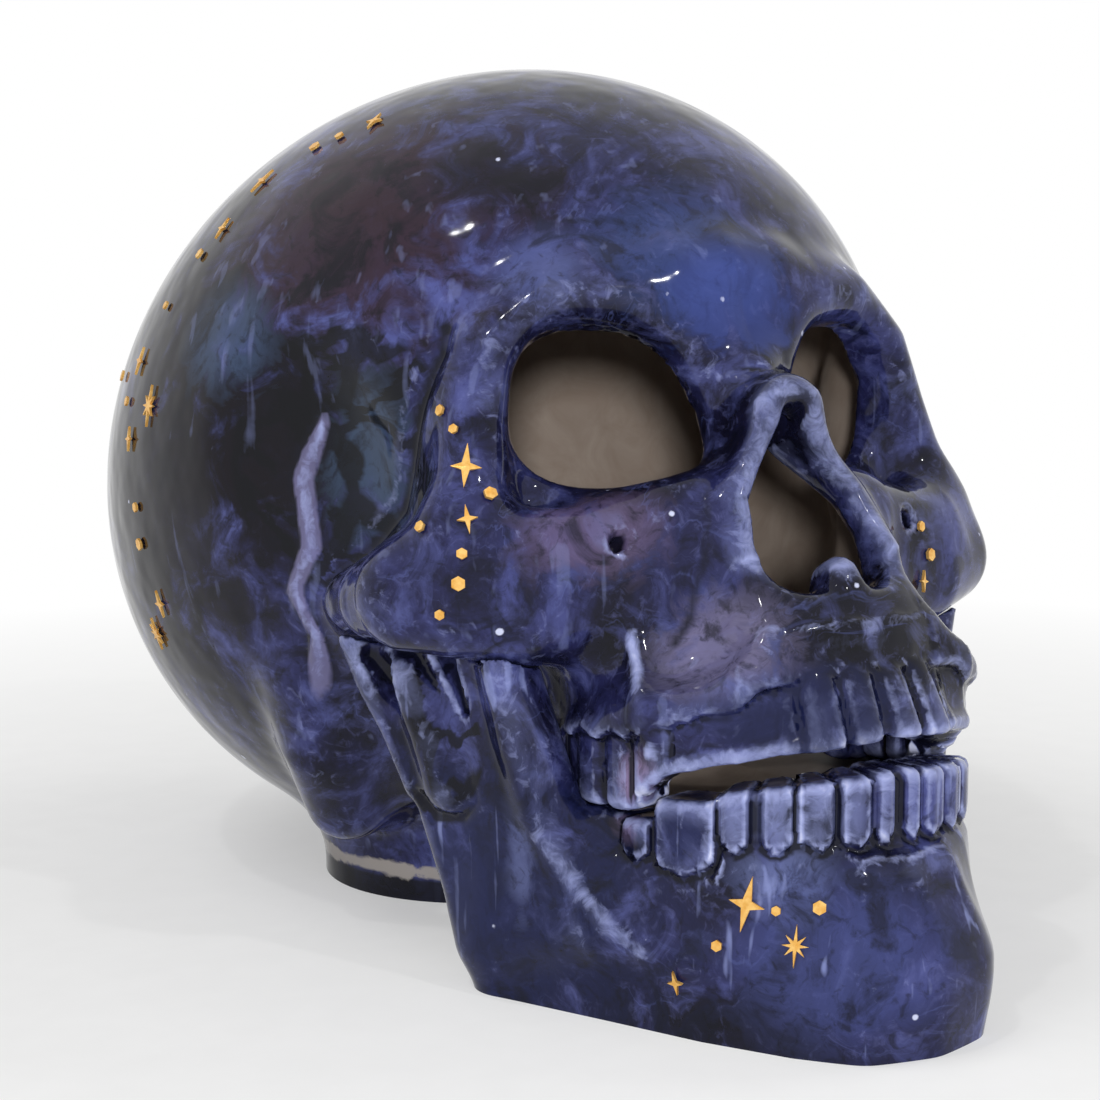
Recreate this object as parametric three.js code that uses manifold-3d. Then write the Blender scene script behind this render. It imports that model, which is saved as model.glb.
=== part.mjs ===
// A glazed slip-cast skull, hollow, that stands on its lower jaw and on a foot collar.
// Millimetres, +Z up, the face looks along -Y, and the origin is on the table under the skull.
// Three castings are luted together: the cranial vault, the face with the upper teeth, and the
// lower jaw. Stars and dots of raised gold lustre lie on the glaze.
import * as THREE from 'three';
import { mergeVertices } from 'three/addons/utils/BufferGeometryUtils.js';
import Module from 'manifold-3d';

const wasm = await Module();
wasm.setup();

// Driving dimensions
const skullWidth = 158;
const vaultLength = 185;
const vaultHeight = 154;
const headTilt = 29;
const wall = 5;
const relief = 10;
const seamBack = 24;
const luteGap = 0.3;
const lutePlay = 0.15;
const tableClearance = 3;
const mouthGap = 5.6;
const footWidth = 77;
const footLength = 68;
const footHeight = 14;
const footBack = 23;
const footRing = 8;
const crownHeight = 11;
const crownDepth = 9.4;
const lustreThickness = 0.5;
const starHeight = 8;
const dotWidth = 2.4;
const fineCell = 4.6;
const broadCell = 11.5;
const nudge = 0.1;
const shortestEdge = 0.4;
const thinnestFace = 0.01;

const half = { x: skullWidth / 2, f: vaultLength / 2, z: vaultHeight / 2 };
const tilt = THREE.MathUtils.degToRad(headTilt);
const sinTilt = Math.sin(tilt);
const cosTilt = Math.cos(tilt);

// The head has its own frame: x to its side, f forward and z up, from the middle of its ear line.
// A row of shares gives a place in half widths, half lengths and half heights of the vault,
// and a fourth share gives a radius in reliefs.
const place = ([x, f, z]) => [x * half.x, f * half.f, z * half.z];
const knot = (row) => [...place(row), row[3] * relief];

// The vault is an egg. It is tilted back and lifted until it just clears the table.
const vaultCentreShares = [0, -0.063, 0.545];
const vaultCentre = place(vaultCentreShares);
const vaultRadii = [half.x, half.f, half.z];
const tiltedHalfHeight = Math.hypot(half.f * sinTilt, half.z * cosTilt);
const lift = tableClearance + tiltedHalfHeight - vaultCentre[1] * sinTilt - vaultCentre[2] * cosTilt;

const reachOf = ([, f, z]) => f * cosTilt - z * sinTilt;
const heightOf = ([, f, z]) => f * sinTilt + z * cosTilt + lift;
const toPart = ([x, f, z]) => [x, -reachOf([x, f, z]), heightOf([x, f, z])];

/** A point of the part as the fields read it: head frame x, f, z, then reach and height on the table. */
function probe(X, Y, Z) {
  const up = Z - lift;
  return { x: Math.abs(X), f: up * sinTilt - Y * cosTilt, z: Y * sinTilt + up * cosTilt, g: -Y, h: Z };
}

// Signed distances, joined and carved with soft edges
function join(a, b, soft) {
  const near = Math.max(soft - Math.abs(a - b), 0) / soft;
  return Math.min(a, b) - near * near * soft / 4;
}

function carve(a, b, soft) {
  return -join(-a, b, soft);
}

function egg(x, f, z, centre, radii) {
  const u = (x - centre[0]) / radii[0];
  const v = (f - centre[1]) / radii[1];
  const w = (z - centre[2]) / radii[2];
  const reach = Math.hypot(u, v, w);
  const slope = Math.hypot(u / radii[0], v / radii[1], w / radii[2]);
  return slope === 0 ? -Math.min(...radii) : reach * (reach - 1) / slope;
}

function bar(x, f, z, a, b) {
  const run = [b[0] - a[0], b[1] - a[1], b[2] - a[2]];
  const from = [x - a[0], f - a[1], z - a[2]];
  const square = run[0] ** 2 + run[1] ** 2 + run[2] ** 2;
  const along = (from[0] * run[0] + from[1] * run[1] + from[2] * run[2]) / square;
  const t = THREE.MathUtils.clamp(along, 0, 1);
  const gap = Math.hypot(from[0] - t * run[0], from[1] - t * run[1], from[2] - t * run[2]);
  return gap - THREE.MathUtils.lerp(a[3], b[3], t);
}

function ridge(p, knots) {
  let gap = Infinity;
  for (let i = 1; i < knots.length; i += 1) {
    gap = Math.min(gap, bar(p.x, p.f, p.z, knots[i - 1], knots[i]));
  }
  return gap;
}

/** Distance to a curve in plan, and how far along it the nearest point lies. */
function alongPlan(x, g, curve) {
  let best = { gap: Infinity, run: 0 };
  let before = 0;
  for (let i = 1; i < curve.length; i += 1) {
    const [ax, ag] = curve[i - 1];
    const run = [curve[i][0] - ax, curve[i][1] - ag];
    const length = Math.hypot(...run);
    const share = ((x - ax) * run[0] + (g - ag) * run[1]) / length ** 2;
    const t = THREE.MathUtils.clamp(share, 0, 1);
    const gap = Math.hypot(x - ax - t * run[0], g - ag - t * run[1]);
    if (gap < best.gap) {
      best = { gap, run: before + t * length };
    }
    before += length;
  }
  return best;
}

/** A wall that stands on a plan curve, from a low to a high level, with rounded edges. */
function wallOn(gap, halfThick, level, low, high, round) {
  const side = gap - (halfThick - round);
  const end = Math.max(low + round - level, level - high + round);
  return Math.hypot(Math.max(side, 0), Math.max(end, 0)) + Math.min(Math.max(side, end), 0) - round;
}

function block(q, halves, round) {
  const over = q.map((v, i) => Math.abs(v) - halves[i] + round);
  const outside = Math.hypot(...over.map((v) => Math.max(v, 0)));
  return outside + Math.min(Math.max(...over), 0) - round;
}

function spin(u, v, degrees) {
  const angle = THREE.MathUtils.degToRad(degrees);
  const c = Math.cos(angle);
  const s = Math.sin(angle);
  return [c * u + s * v, c * v - s * u];
}

// Softness of the joins between forms, in reliefs
const softShares = {
  temple: 0.9, foot: 0.9, core: 1.4, brow: 0.9, rim: 0.7, cheek: 0.7, bridge: 0.7, collar: 0.5,
  jowl: 0.8, gum: 1.4, spine: 0.4, hollow: 0.8, eye: 0.6, nose: 0.3, jaw: 0.8, panel: 0.25, edge: 0.3,
};
const soft = Object.fromEntries(Object.entries(softShares).map(([k, v]) => [k, v * relief]));

// Vault: an egg with hollow temples, joined to an oval foot collar
const templeShares = { centre: [0.987, 0.498, 0.221], radii: [0.31, 0.227, 0.403] };
const templeCentre = place(templeShares.centre);
const templeRadii = place(templeShares.radii);

function footCollar(p) {
  const oval = Math.hypot(p.x / (footWidth / 2), (p.g + footBack) / (footLength / 2));
  return Math.max((oval - 1) * footLength / 2, p.h - footHeight, -wall - p.h);
}

function vaultForm(p) {
  const temple = egg(p.x, p.f, p.z, templeCentre, templeRadii);
  const skull = carve(egg(p.x, p.f, p.z, vaultCentre, vaultRadii), temple, soft.temple);
  return join(skull, footCollar(p), soft.foot);
}

// Mould form: the vault with the plain mass of the face under it, which sets the hollow inside
const coreShares = { centre: [0, 0.584, -0.182], radii: [0.43, 0.368, 0.403] };
const coreCentre = place(coreShares.centre);
const coreRadii = place(coreShares.radii);

function mouldForm(p) {
  return join(vaultForm(p), egg(p.x, p.f, p.z, coreCentre, coreRadii), soft.core);
}

// Ridges of the face: brow, eye rim, cheekbone and its shelf on the temple, bridge of the nose
const browShares = [
  [0.09, 0.855, 0.377, 0.6], [0.228, 0.855, 0.448, 0.63], [0.392, 0.828, 0.448, 0.62],
  [0.525, 0.768, 0.377, 0.58], [0.582, 0.72, 0.247, 0.55], [0.62, 0.687, 0.117, 0.56],
  [0.646, 0.66, 0.026, 0.6],
];
const rimShares = [
  [0.646, 0.649, 0.013, 0.65], [0.557, 0.709, -0.052, 0.65], [0.43, 0.752, -0.071, 0.6],
  [0.304, 0.79, -0.058, 0.55], [0.205, 0.816, 0.013, 0.5], [0.158, 0.828, 0.143, 0.5],
  [0.127, 0.828, 0.286, 0.55],
];
const cheekShares = [
  [0.38, 0.671, -0.182, 1], [0.532, 0.66, -0.169, 0.95], [0.671, 0.617, -0.117, 0.95],
  [0.741, 0.563, -0.078, 0.88], [0.766, 0.476, -0.039, 0.62], [0.778, 0.39, 0.004, 0.38],
];
const shelfShares = [[0.734, 0.541, -0.039, 0.6], [0.722, 0.39, 0, 0.5], [0.684, 0.26, 0.026, 0.5]];
const bridgeShares = [[0, 0.839, 0.338, 0.55], [0, 0.931, 0.117, 0.6]];
const spineShares = [[0, 0.866, -0.442, 0.7], [0, 0.958, -0.292, 0.34]];
const browKnots = browShares.map(knot);
const rimKnots = rimShares.map(knot);
const cheekKnots = cheekShares.map(knot);
const shelfKnots = shelfShares.map(knot);
const bridgeKnots = bridgeShares.map(knot);
const spineKnots = spineShares.map(knot);

// Eye window: a rounded square, turned outwards, lower at the nose and narrower above
const eyeShares = {
  centre: [0.319, 0.823, 0.227], halfWidth: 0.2, narrowing: 0.025, halfHeight: 0.174,
  droop: -0.22, square: 2.5, depth: 0.22,
};
const eyeYaw = -16;
const eyePitch = -6;
const eyeCentre = place(eyeShares.centre);
const eyeHalfWidth = eyeShares.halfWidth * half.x;
const eyeNarrowing = eyeShares.narrowing * half.x;
const eyeHalfHeight = eyeShares.halfHeight * half.z;
const eyeDepth = eyeShares.depth * half.f;

function eyeWindow(p) {
  const [u, f] = spin(p.x - eyeCentre[0], p.f - eyeCentre[1], eyeYaw);
  const [depth, v] = spin(f, p.z - eyeCentre[2], eyePitch);
  const w = v + eyeShares.droop * u;
  const across = eyeHalfWidth - eyeNarrowing * THREE.MathUtils.clamp(w / eyeHalfHeight, -1, 1);
  const power = eyeShares.square;
  const size = (Math.abs(u / across) ** power + Math.abs(w / eyeHalfHeight) ** power) ** (1 / power);
  return carve((size - 1) * eyeHalfHeight, depth + eyeDepth, soft.nose);
}

// Nose window: a pear with a bony spine between its two lobes, in a raised collar
const noseShares = {
  apex: [0, 0, 0.071, 0.22], flank: [0.043, 0, -0.104, 0.74], middle: [0, 0, -0.13, 0.85],
  lobe: [0.076, 0, -0.218], lobeRadii: [0.091, 1, 0.099],
  tipLow: [0, 0, -0.494, 0.55], tipHigh: [0, 0, -0.286, 0.32],
  softFlank: 0.2, softLobe: 0.4, softTip: 0.25, depthBack: 0.563,
};
const noseKnots = {
  apex: knot(noseShares.apex), flank: knot(noseShares.flank), middle: knot(noseShares.middle),
  tipLow: knot(noseShares.tipLow), tipHigh: knot(noseShares.tipHigh),
};
const noseLobe = place(noseShares.lobe);
const noseLobeRadii = place(noseShares.lobeRadii);
const noseBack = noseShares.depthBack * half.f;

function noseOutline(p) {
  const flank = bar(p.x, 0, p.z, noseKnots.apex, noseKnots.flank);
  const middle = bar(p.x, 0, p.z, noseKnots.apex, noseKnots.middle);
  const pear = join(flank, middle, noseShares.softFlank * relief);
  const lobes = join(pear, egg(p.x, 0, p.z, noseLobe, noseLobeRadii), noseShares.softLobe * relief);
  const tip = bar(p.x, 0, p.z, noseKnots.tipLow, noseKnots.tipHigh);
  return carve(lobes, tip, noseShares.softTip * relief);
}

const collarShares = {
  plane: 0.963, waist: -0.065, bow: 1.29, low: -0.156, high: 0.195, round: 1.08, fall: 0.29, width: 0.5,
  foot: -0.22,
};

/** How far forward the edge of the nose stands: it is set back at its waist and at its sides. */
function collarFace(p) {
  const z = p.z / half.z - collarShares.waist;
  const x = p.x / half.x;
  const bow = THREE.MathUtils.clamp(z, collarShares.low, collarShares.high) ** 2 * collarShares.bow;
  const fall = Math.max(collarShares.foot - p.z / half.z, 0) * collarShares.fall;
  return (collarShares.plane + bow - x * x * collarShares.round - fall) * half.f;
}

function noseCollar(p) {
  const ring = carve(noseOutline(p) - collarShares.width * relief, collarFace(p) - p.f, soft.nose);
  return carve(ring, p.f - noseBack, soft.nose);
}

// Tooth rows in plan: shares of the half width, and of the reach of the upper front teeth
const biteShares = [0, 0.952, -0.642];
const bitePoint = place(biteShares);
const biteReach = reachOf(bitePoint);
const upperRowShares = [
  [0, 0.955], [0.108, 0.944], [0.196, 0.923], [0.278, 0.886], [0.335, 0.838], [0.373, 0.779],
  [0.392, 0.7], [0.392, 0.641],
];
const lowerRowShares = [
  [0, 0.991], [0.101, 0.978], [0.177, 0.955], [0.241, 0.915], [0.295, 0.863], [0.335, 0.802],
  [0.357, 0.74], [0.361, 0.671],
];
const onPlan = ([x, g]) => [x * half.x, g * biteReach];
const upperRow = upperRowShares.map(onPlan);
const lowerRow = lowerRowShares.map(onPlan);

const gumShares = { halfThick: 0.54, low: -0.539, high: -0.429, round: 0.4 };
const gumHalf = gumShares.halfThick * relief;
const gumRound = gumShares.round * relief;
const jowlShares = { centre: [0, 0.617, -0.338], radii: [0.392, 0.314, 0.26] };
const jowlCentre = place(jowlShares.centre);
const jowlRadii = place(jowlShares.radii);
const hollowShares = { centre: [0.367, 0.898, -0.312], radii: [0.101, 0.076, 0.13] };
const hollowCentre = place(hollowShares.centre);
const hollowRadii = place(hollowShares.radii);

function upperGum(p) {
  const { gap } = alongPlan(p.x, p.g, upperRow);
  return wallOn(gap, gumHalf, p.z, gumShares.low * half.z, gumShares.high * half.z, gumRound);
}

/** Outside of the cranium and face, before the windows are cut. */
function headForm(p) {
  let form = join(mouldForm(p), ridge(p, browKnots), soft.brow);
  form = join(form, ridge(p, rimKnots), soft.rim);
  form = join(form, ridge(p, cheekKnots), soft.cheek);
  form = join(form, ridge(p, shelfKnots), soft.cheek);
  form = join(form, ridge(p, bridgeKnots), soft.bridge);
  form = join(form, noseCollar(p), soft.collar);
  form = join(form, egg(p.x, p.f, p.z, jowlCentre, jowlRadii), soft.jowl);
  form = join(form, upperGum(p), soft.gum);
  form = join(form, ridge(p, spineKnots), soft.spine);
  return carve(form, egg(p.x, p.f, p.z, hollowCentre, hollowRadii), soft.hollow);
}

function headOuter(p) {
  const eyes = carve(headForm(p), eyeWindow(p), soft.eye);
  return carve(eyes, Math.max(noseOutline(p), noseBack - p.f), soft.nose);
}

// Hollow inside: the mould form less the wall, open through the palate and through the foot
const palateShares = { centre: [0, 0.519, -0.468], radii: [0.304, 0.335, 0.519] };
const palateCentre = place(palateShares.centre);
const palateRadii = place(palateShares.radii);

function hollow(p) {
  const inside = mouldForm(p) + wall;
  const palate = egg(p.x, p.f, p.z, palateCentre, palateRadii);
  const across = footWidth / 2 - footRing;
  const deep = footLength / 2 - footRing;
  const oval = (Math.hypot(p.x / across, (p.g + footBack) / deep) - 1) * deep;
  const pour = Math.max(oval, p.h - footHeight - wall, -wall - wall - p.h);
  return Math.min(inside, palate, pour);
}

// Lower jaw: a wall on a horseshoe plan that rests on the table, with a chin and two rami
const jawRowShares = [
  [0, 1.06], [0.108, 1.041], [0.184, 0.976], [0.278, 0.853], [0.373, 0.695], [0.468, 0.543],
  [0.5, 0.493],
];
const jawRow = jawRowShares.map(onPlan);
const jawShares = {
  halfThick: 0.7, round: 0.45, height: 0.69, rearHeight: 0.62, rearFrom: 0.38, rearTo: 0.76,
  lean: 0.32, leanFrom: 0.29, gumHalf: 0.5, gumLow: 0.27, gumHigh: 0.74, gumRear: 0.62,
};
const chinShares = { centre: [0, 1.016, 0.246], radii: [0.215, 0.109, 0.29] };
const ramusShares = { centre: [0.563, 0.411, -0.47], halfThick: 0.5, halfDeep: 0.184, halfTall: 0.385 };
const ramusYaw = 14;
const ramusFlare = -12.6;
const ramusLean = -9;
const panelShares = { out: 0.62, halfThick: 0.26, halfDeep: 0.097, halfTall: 0.247, back: -0.011, low: -0.026 };
const mouthFloorShares = { wide: 0.532, back: 0.385, deep: 0.66, level: 0.675 };
const mouthFloorBow = 1.4;
const jawTop = heightOf(bitePoint) - mouthGap;
const chinCentre = [0, chinShares.centre[1] * biteReach, chinShares.centre[2] * jawTop];
const chinRadii = [
  chinShares.radii[0] * half.x, chinShares.radii[1] * biteReach, chinShares.radii[2] * jawTop,
];
const ramusCentre = place(ramusShares.centre);
const ramusHalves = [
  ramusShares.halfThick * relief, ramusShares.halfDeep * half.f, ramusShares.halfTall * half.z,
];
const panelHalves = [
  panelShares.halfThick * relief, panelShares.halfDeep * half.f, panelShares.halfTall * half.z,
];
const panelCentre = [panelShares.out * relief, panelShares.back * half.f, panelShares.low * half.z];

/** How far towards the back teeth a point of a row lies, from 0 to 1. */
function rearward(run) {
  const from = jawShares.rearFrom * half.x;
  const to = jawShares.rearTo * half.x;
  return THREE.MathUtils.clamp((run - from) / (to - from), 0, 1);
}

function jawBody(p) {
  const row = alongPlan(p.x, p.g, jawRow);
  const lean = Math.max(p.h - jawShares.leanFrom * jawTop, 0) * jawShares.lean;
  const top = THREE.MathUtils.lerp(jawShares.height, jawShares.rearHeight, rearward(row.run)) * jawTop;
  const thick = jawShares.halfThick * relief;
  const body = wallOn(row.gap + lean, thick, p.h, -thick, top, jawShares.round * relief);
  return join(body, egg(p.x, p.g, p.h, chinCentre, chinRadii), soft.jaw);
}

function lowerGum(p) {
  const row = alongPlan(p.x, p.g, lowerRow);
  const top = THREE.MathUtils.lerp(jawShares.gumHigh, jawShares.gumRear, rearward(row.run)) * jawTop;
  return wallOn(row.gap, jawShares.gumHalf * relief, p.h, jawShares.gumLow * jawTop, top, soft.edge);
}

/** Floor of the mouth: a sheet that ties the two sides of the jaw and closes the view through it. */
function mouthFloor(p) {
  const across = mouthFloorShares.wide * half.x;
  const back = mouthFloorShares.back * biteReach;
  const u = Math.max(p.g - back, 0) / (mouthFloorShares.deep * biteReach);
  const size = ((p.x / across) ** mouthFloorBow + u ** mouthFloorBow) ** (1 / mouthFloorBow);
  const plan = Math.max((size - 1) * across, back - p.g);
  return carve(plan, wall / 2 - Math.abs(p.h - mouthFloorShares.level * jawTop), soft.edge);
}

function ramusFrame(p) {
  const [a, f] = spin(p.x - ramusCentre[0], p.f - ramusCentre[1], ramusYaw);
  const [b, z] = spin(a, p.z - ramusCentre[2], ramusFlare);
  const [c, d] = spin(f, z, ramusLean);
  return [b, c, d];
}

function jawForm(p) {
  const q = ramusFrame(p);
  let form = join(jawBody(p), lowerGum(p), soft.rim);
  form = join(form, mouthFloor(p), soft.edge);
  form = join(form, block(q, ramusHalves, jawShares.round * relief), soft.jaw);
  const panel = block(q.map((v, i) => v - panelCentre[i]), panelHalves, soft.panel);
  return carve(form, panel, soft.panel);
}

// A field is turned into a closed solid by a net: each sheet of the surface that crosses a cell
// of the grid gets one vertex there, and each crossed grid edge gets a face.
const cellCorners = [
  [0, 0, 0], [1, 0, 0], [0, 1, 0], [1, 1, 0], [0, 0, 1], [1, 0, 1], [0, 1, 1], [1, 1, 1],
];
const cornerStep = [1, 2, 4];
const cellEdges = [];
cellCorners.forEach((corner, n) => corner.forEach((v, axis) => {
  if (v === 0) {
    cellEdges.push([n, n + cornerStep[axis]]);
  }
}));
const cellFaces = [0, 1, 2].flatMap((axis) => [0, cornerStep[axis]].map((side) => {
  const [u, v] = [cornerStep[(axis + 1) % 3], cornerStep[(axis + 2) % 3]];
  return [side, side + u, side + u + v, side + v];
}));
const edgeBetween = (a, b) => cellEdges.findIndex((edge) => edge.includes(a) && edge.includes(b));

/** Numbers the edges of a cell so that the crossed edges of one sheet of the surface are alike. */
function sheetsOf(levels) {
  let sheets = cellEdges.map((_, n) => n);
  for (const ring of cellFaces) {
    ring.forEach((corner, n) => {
      const before = ring[(n + 3) % 4];
      if (levels[corner] < 0 && levels[before] >= 0) {
        let last = n;
        while (levels[ring[(last + 1) % 4]] < 0) {
          last += 1;
        }
        const one = sheets[edgeBetween(before, corner)];
        const other = sheets[edgeBetween(ring[last % 4], ring[(last + 1) % 4])];
        sheets = sheets.map((sheet) => (sheet === other ? one : sheet));
      }
    });
  }
  return sheets;
}

/** Grid lines through a row of stations, with a step for each stretch between two of them. */
function gridLines(stations, steps) {
  const lines = [stations[0]];
  for (let i = 1; i < stations.length; i += 1) {
    const count = Math.max(Math.round((stations[i] - stations[i - 1]) / steps[i - 1]), 1);
    for (let n = 1; n <= count; n += 1) {
      lines.push(THREE.MathUtils.lerp(stations[i - 1], stations[i], n / count));
    }
  }
  return lines;
}

/** How steeply a field rises along X, Y and Z at a point of the part. */
function slopeAt(field, spot, level) {
  return spot.map((v, i) => {
    const beside = [...spot];
    beside[i] = v + nudge;
    return (field(probe(...beside)) - level) / nudge;
  });
}

const gentlestSlopeShare = 0.5;

/** Moves a point of the part onto the surface of a field, along the steepest way. */
function settle(field, point, rounds = 3) {
  const spot = [...point];
  for (let n = 0; n < rounds; n += 1) {
    const level = field(probe(...spot));
    const slope = slopeAt(field, spot, level);
    const square = Math.max(slope[0] ** 2 + slope[1] ** 2 + slope[2] ** 2, gentlestSlopeShare ** 2);
    spot.forEach((v, i) => {
      spot[i] = v - level * slope[i] / square;
    });
  }
  return spot;
}

function solidOf(positions, triangles) {
  const mesh = new wasm.Mesh({
    numProp: 3, vertProperties: Float32Array.from(positions), triVerts: Uint32Array.from(triangles),
  });
  return new wasm.Manifold(mesh);
}

/** Middle of the points where a field crosses the given edges of a cell, settled on the field. */
function sheetPoint(field, grid, cell, levels, edges) {
  const middle = [0, 0, 0];
  for (const [a, b] of edges) {
    const t = levels[a] / (levels[a] - levels[b]);
    middle.forEach((v, i) => {
      const from = grid[i][cell[i] + cellCorners[a][i]];
      const to = grid[i][cell[i] + cellCorners[b][i]];
      middle[i] = v + THREE.MathUtils.lerp(from, to, t) / edges.length;
    });
  }
  const spot = settle(field, middle);
  return spot.map((v, i) => THREE.MathUtils.clamp(v, grid[i][cell[i]], grid[i][cell[i] + 1]));
}

function netSolid(field, xs, ys, zs) {
  const grid = [xs, ys, zs];
  const index = ([i, j, k]) => (i * ys.length + j) * zs.length + k;
  const level = new Float64Array(xs.length * ys.length * zs.length);
  xs.forEach((x, i) => ys.forEach((y, j) => zs.forEach((z, k) => {
    level[index([i, j, k])] = field(probe(x, y, z));
  })));
  const positions = [];
  const vertexAt = new Map();
  const verticesOf = (cell) => {
    const key = index(cell);
    if (!vertexAt.has(key)) {
      const levels = cellCorners.map((corner) => level[index(corner.map((v, i) => v + cell[i]))]);
      const sheets = sheetsOf(levels);
      const vertexOf = new Map();
      for (const sheet of new Set(sheets)) {
        const edges = cellEdges.filter(([a, b], n) => sheets[n] === sheet && levels[a] < 0 !== levels[b] < 0);
        if (edges.length > 0) {
          vertexOf.set(sheet, positions.length / 3);
          positions.push(...sheetPoint(field, grid, cell, levels, edges));
        }
      }
      vertexAt.set(key, sheets.map((sheet) => vertexOf.get(sheet)));
    }
    return vertexAt.get(key);
  };
  const apart = (a, b) => Math.hypot(...[0, 1, 2].map((i) => positions[3 * a + i] - positions[3 * b + i]));
  const triangles = [];
  const addFace = (axis, cell, inward) => {
    const [u, v] = [(axis + 1) % 3, (axis + 2) % 3];
    const ring = [[0, 0], [1, 0], [1, 1], [0, 1]].map(([du, dv]) => {
      const around = [...cell];
      around[u] -= du;
      around[v] -= dv;
      const corner = du * cornerStep[u] + dv * cornerStep[v];
      return verticesOf(around)[edgeBetween(corner, corner + cornerStep[axis])];
    });
    if (inward) {
      ring.reverse();
    }
    const [a, b, c, d] = ring;
    if (apart(a, c) <= apart(b, d)) {
      triangles.push(a, b, c, a, c, d);
    } else {
      triangles.push(a, b, d, b, c, d);
    }
  };
  xs.slice(1).forEach((_, i) => ys.slice(1).forEach((__, j) => zs.slice(1).forEach((___, k) => {
    const inside = level[index([i, j, k])] < 0;
    [[i + 1, j, k], [i, j + 1, k], [i, j, k + 1]].forEach((next, axis) => {
      if (inside !== level[index(next)] < 0) {
        addFace(axis, [i, j, k], !inside);
      }
    });
  })));
  return solidOf(positions, triangles);
}

function solidFrom(geometry) {
  const bare = geometry.toNonIndexed();
  bare.deleteAttribute('normal');
  bare.deleteAttribute('uv');
  const merged = mergeVertices(bare);
  return solidOf(merged.getAttribute('position').array, merged.getIndex().array);
}

function boxBetween(low, high) {
  const size = high.map((v, i) => v - low[i]);
  const geometry = new THREE.BoxGeometry(...size);
  geometry.translate(...high.map((v, i) => (v + low[i]) / 2));
  return solidFrom(geometry);
}

// Room round the whole part, and the planes that trim it
const margin = wall + wall;
const reachAhead = Math.max(chinCentre[1] + chinRadii[1], jawRow[0][1] + relief) + margin;
const reachBehind = Math.hypot(half.f * cosTilt, half.z * sinTilt) - reachOf(vaultCentre) + margin;
const sideways = half.x + margin;
const topHeight = tableClearance + 2 * tiltedHalfHeight + margin;
const browHeight = heightOf(place(browShares[2])) + relief;
const below = -margin - wall;

function tableTrim() {
  return boxBetween([-sideways, -reachAhead, below], [sideways, reachBehind, 0]);
}

function faceGrid() {
  const back = fineCell - seamBack;
  return [
    gridLines([-sideways, sideways], [fineCell]),
    gridLines([-reachAhead, back], [fineCell]),
    gridLines([below, browHeight, topHeight], [fineCell, broadCell]),
  ];
}

/** Cut in front of, or behind, the seam between the two castings of the head. */
function seamTrim(front) {
  const plane = front ? -seamBack - luteGap / 2 : -seamBack + luteGap / 2;
  const low = front ? plane : -reachAhead - margin;
  const high = front ? reachBehind + margin : plane;
  return boxBetween([-sideways - margin, low, below], [sideways + margin, high, topHeight + margin]);
}

function hollowSolid() {
  return netSolid(
    hollow,
    gridLines([-sideways, sideways], [broadCell]),
    gridLines([-reachAhead, reachBehind], [broadCell]),
    gridLines([below, topHeight], [broadCell]),
  );
}

/** One tooth crown: a rounded eight-sided barrel, squashed to its width and depth. */
const crownProfileShares = [[0, 0], [0.78, 0], [0.96, 0.14], [1, 0.45], [1, 0.8], [0.86, 1], [0, 1]];

function crown(width, depth, height) {
  const profile = crownProfileShares.map(([r, z]) => new THREE.Vector2(r, z));
  const geometry = new THREE.LatheGeometry(profile, 8);
  geometry.rotateY(Math.PI / 8);
  geometry.rotateX(Math.PI / 2);
  geometry.scale(width / 2, depth / 2, height);
  return geometry;
}

function pointOnRow(row, run) {
  let left = run;
  for (let i = 1; i < row.length; i += 1) {
    const step = [row[i][0] - row[i - 1][0], row[i][1] - row[i - 1][1]];
    const length = Math.hypot(...step);
    if (left <= length || i === row.length - 1) {
      const spot = [row[i - 1][0] + step[0] * left / length, row[i - 1][1] + step[1] * left / length];
      return { spot, heading: Math.atan2(-step[1], step[0]) };
    }
    left -= length;
  }
  return null;
}

// Widths of the teeth from the middle to the back, in shares of the half width
const upperToothShares = [0.109, 0.1, 0.1, 0.089, 0.089, 0.12];
const lowerToothShares = [0.076, 0.084, 0.091, 0.091, 0.091, 0.128];
const crownWidening = 1.1;

/** Both halves of a tooth row, from its bite line up or down into the gum. */
function toothRow(row, widths, biteAt, upward) {
  const crowns = [];
  for (const side of [-1, 1]) {
    let run = 0;
    for (const share of widths) {
      const width = share * half.x;
      const { spot, heading } = pointOnRow(row, run + width / 2);
      const geometry = crown(width * crownWidening, crownDepth, upward ? crownHeight : -crownHeight);
      geometry.rotateZ(-side * heading);
      geometry.translate(side * spot[0], -spot[1], biteAt(spot, run));
      if (!upward) {
        const order = geometry.getIndex().array;
        for (let i = 0; i < order.length; i += 3) {
          [order[i], order[i + 1]] = [order[i + 1], order[i]];
        }
      }
      crowns.push(solidFrom(geometry));
      run += width;
    }
  }
  return crowns;
}

/** Height on the table of the bite plane of the head, at a given reach. */
function biteHeight(reach, drop) {
  const z = bitePoint[2] - drop;
  return (reach + z * sinTilt) / cosTilt * sinTilt + z * cosTilt + lift;
}

function upperTeeth() {
  return toothRow(upperRow, upperToothShares, (spot) => biteHeight(spot[1], 0), true);
}

function lowerTeeth() {
  return toothRow(lowerRow, lowerToothShares, (spot) => biteHeight(spot[1], mouthGap), false);
}

/** Normal of a triangle, with its length twice the triangle's area. */
function faceNormal(a, b, c) {
  return new THREE.Vector3().subVectors(b, a).cross(new THREE.Vector3().subVectors(c, a));
}

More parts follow.
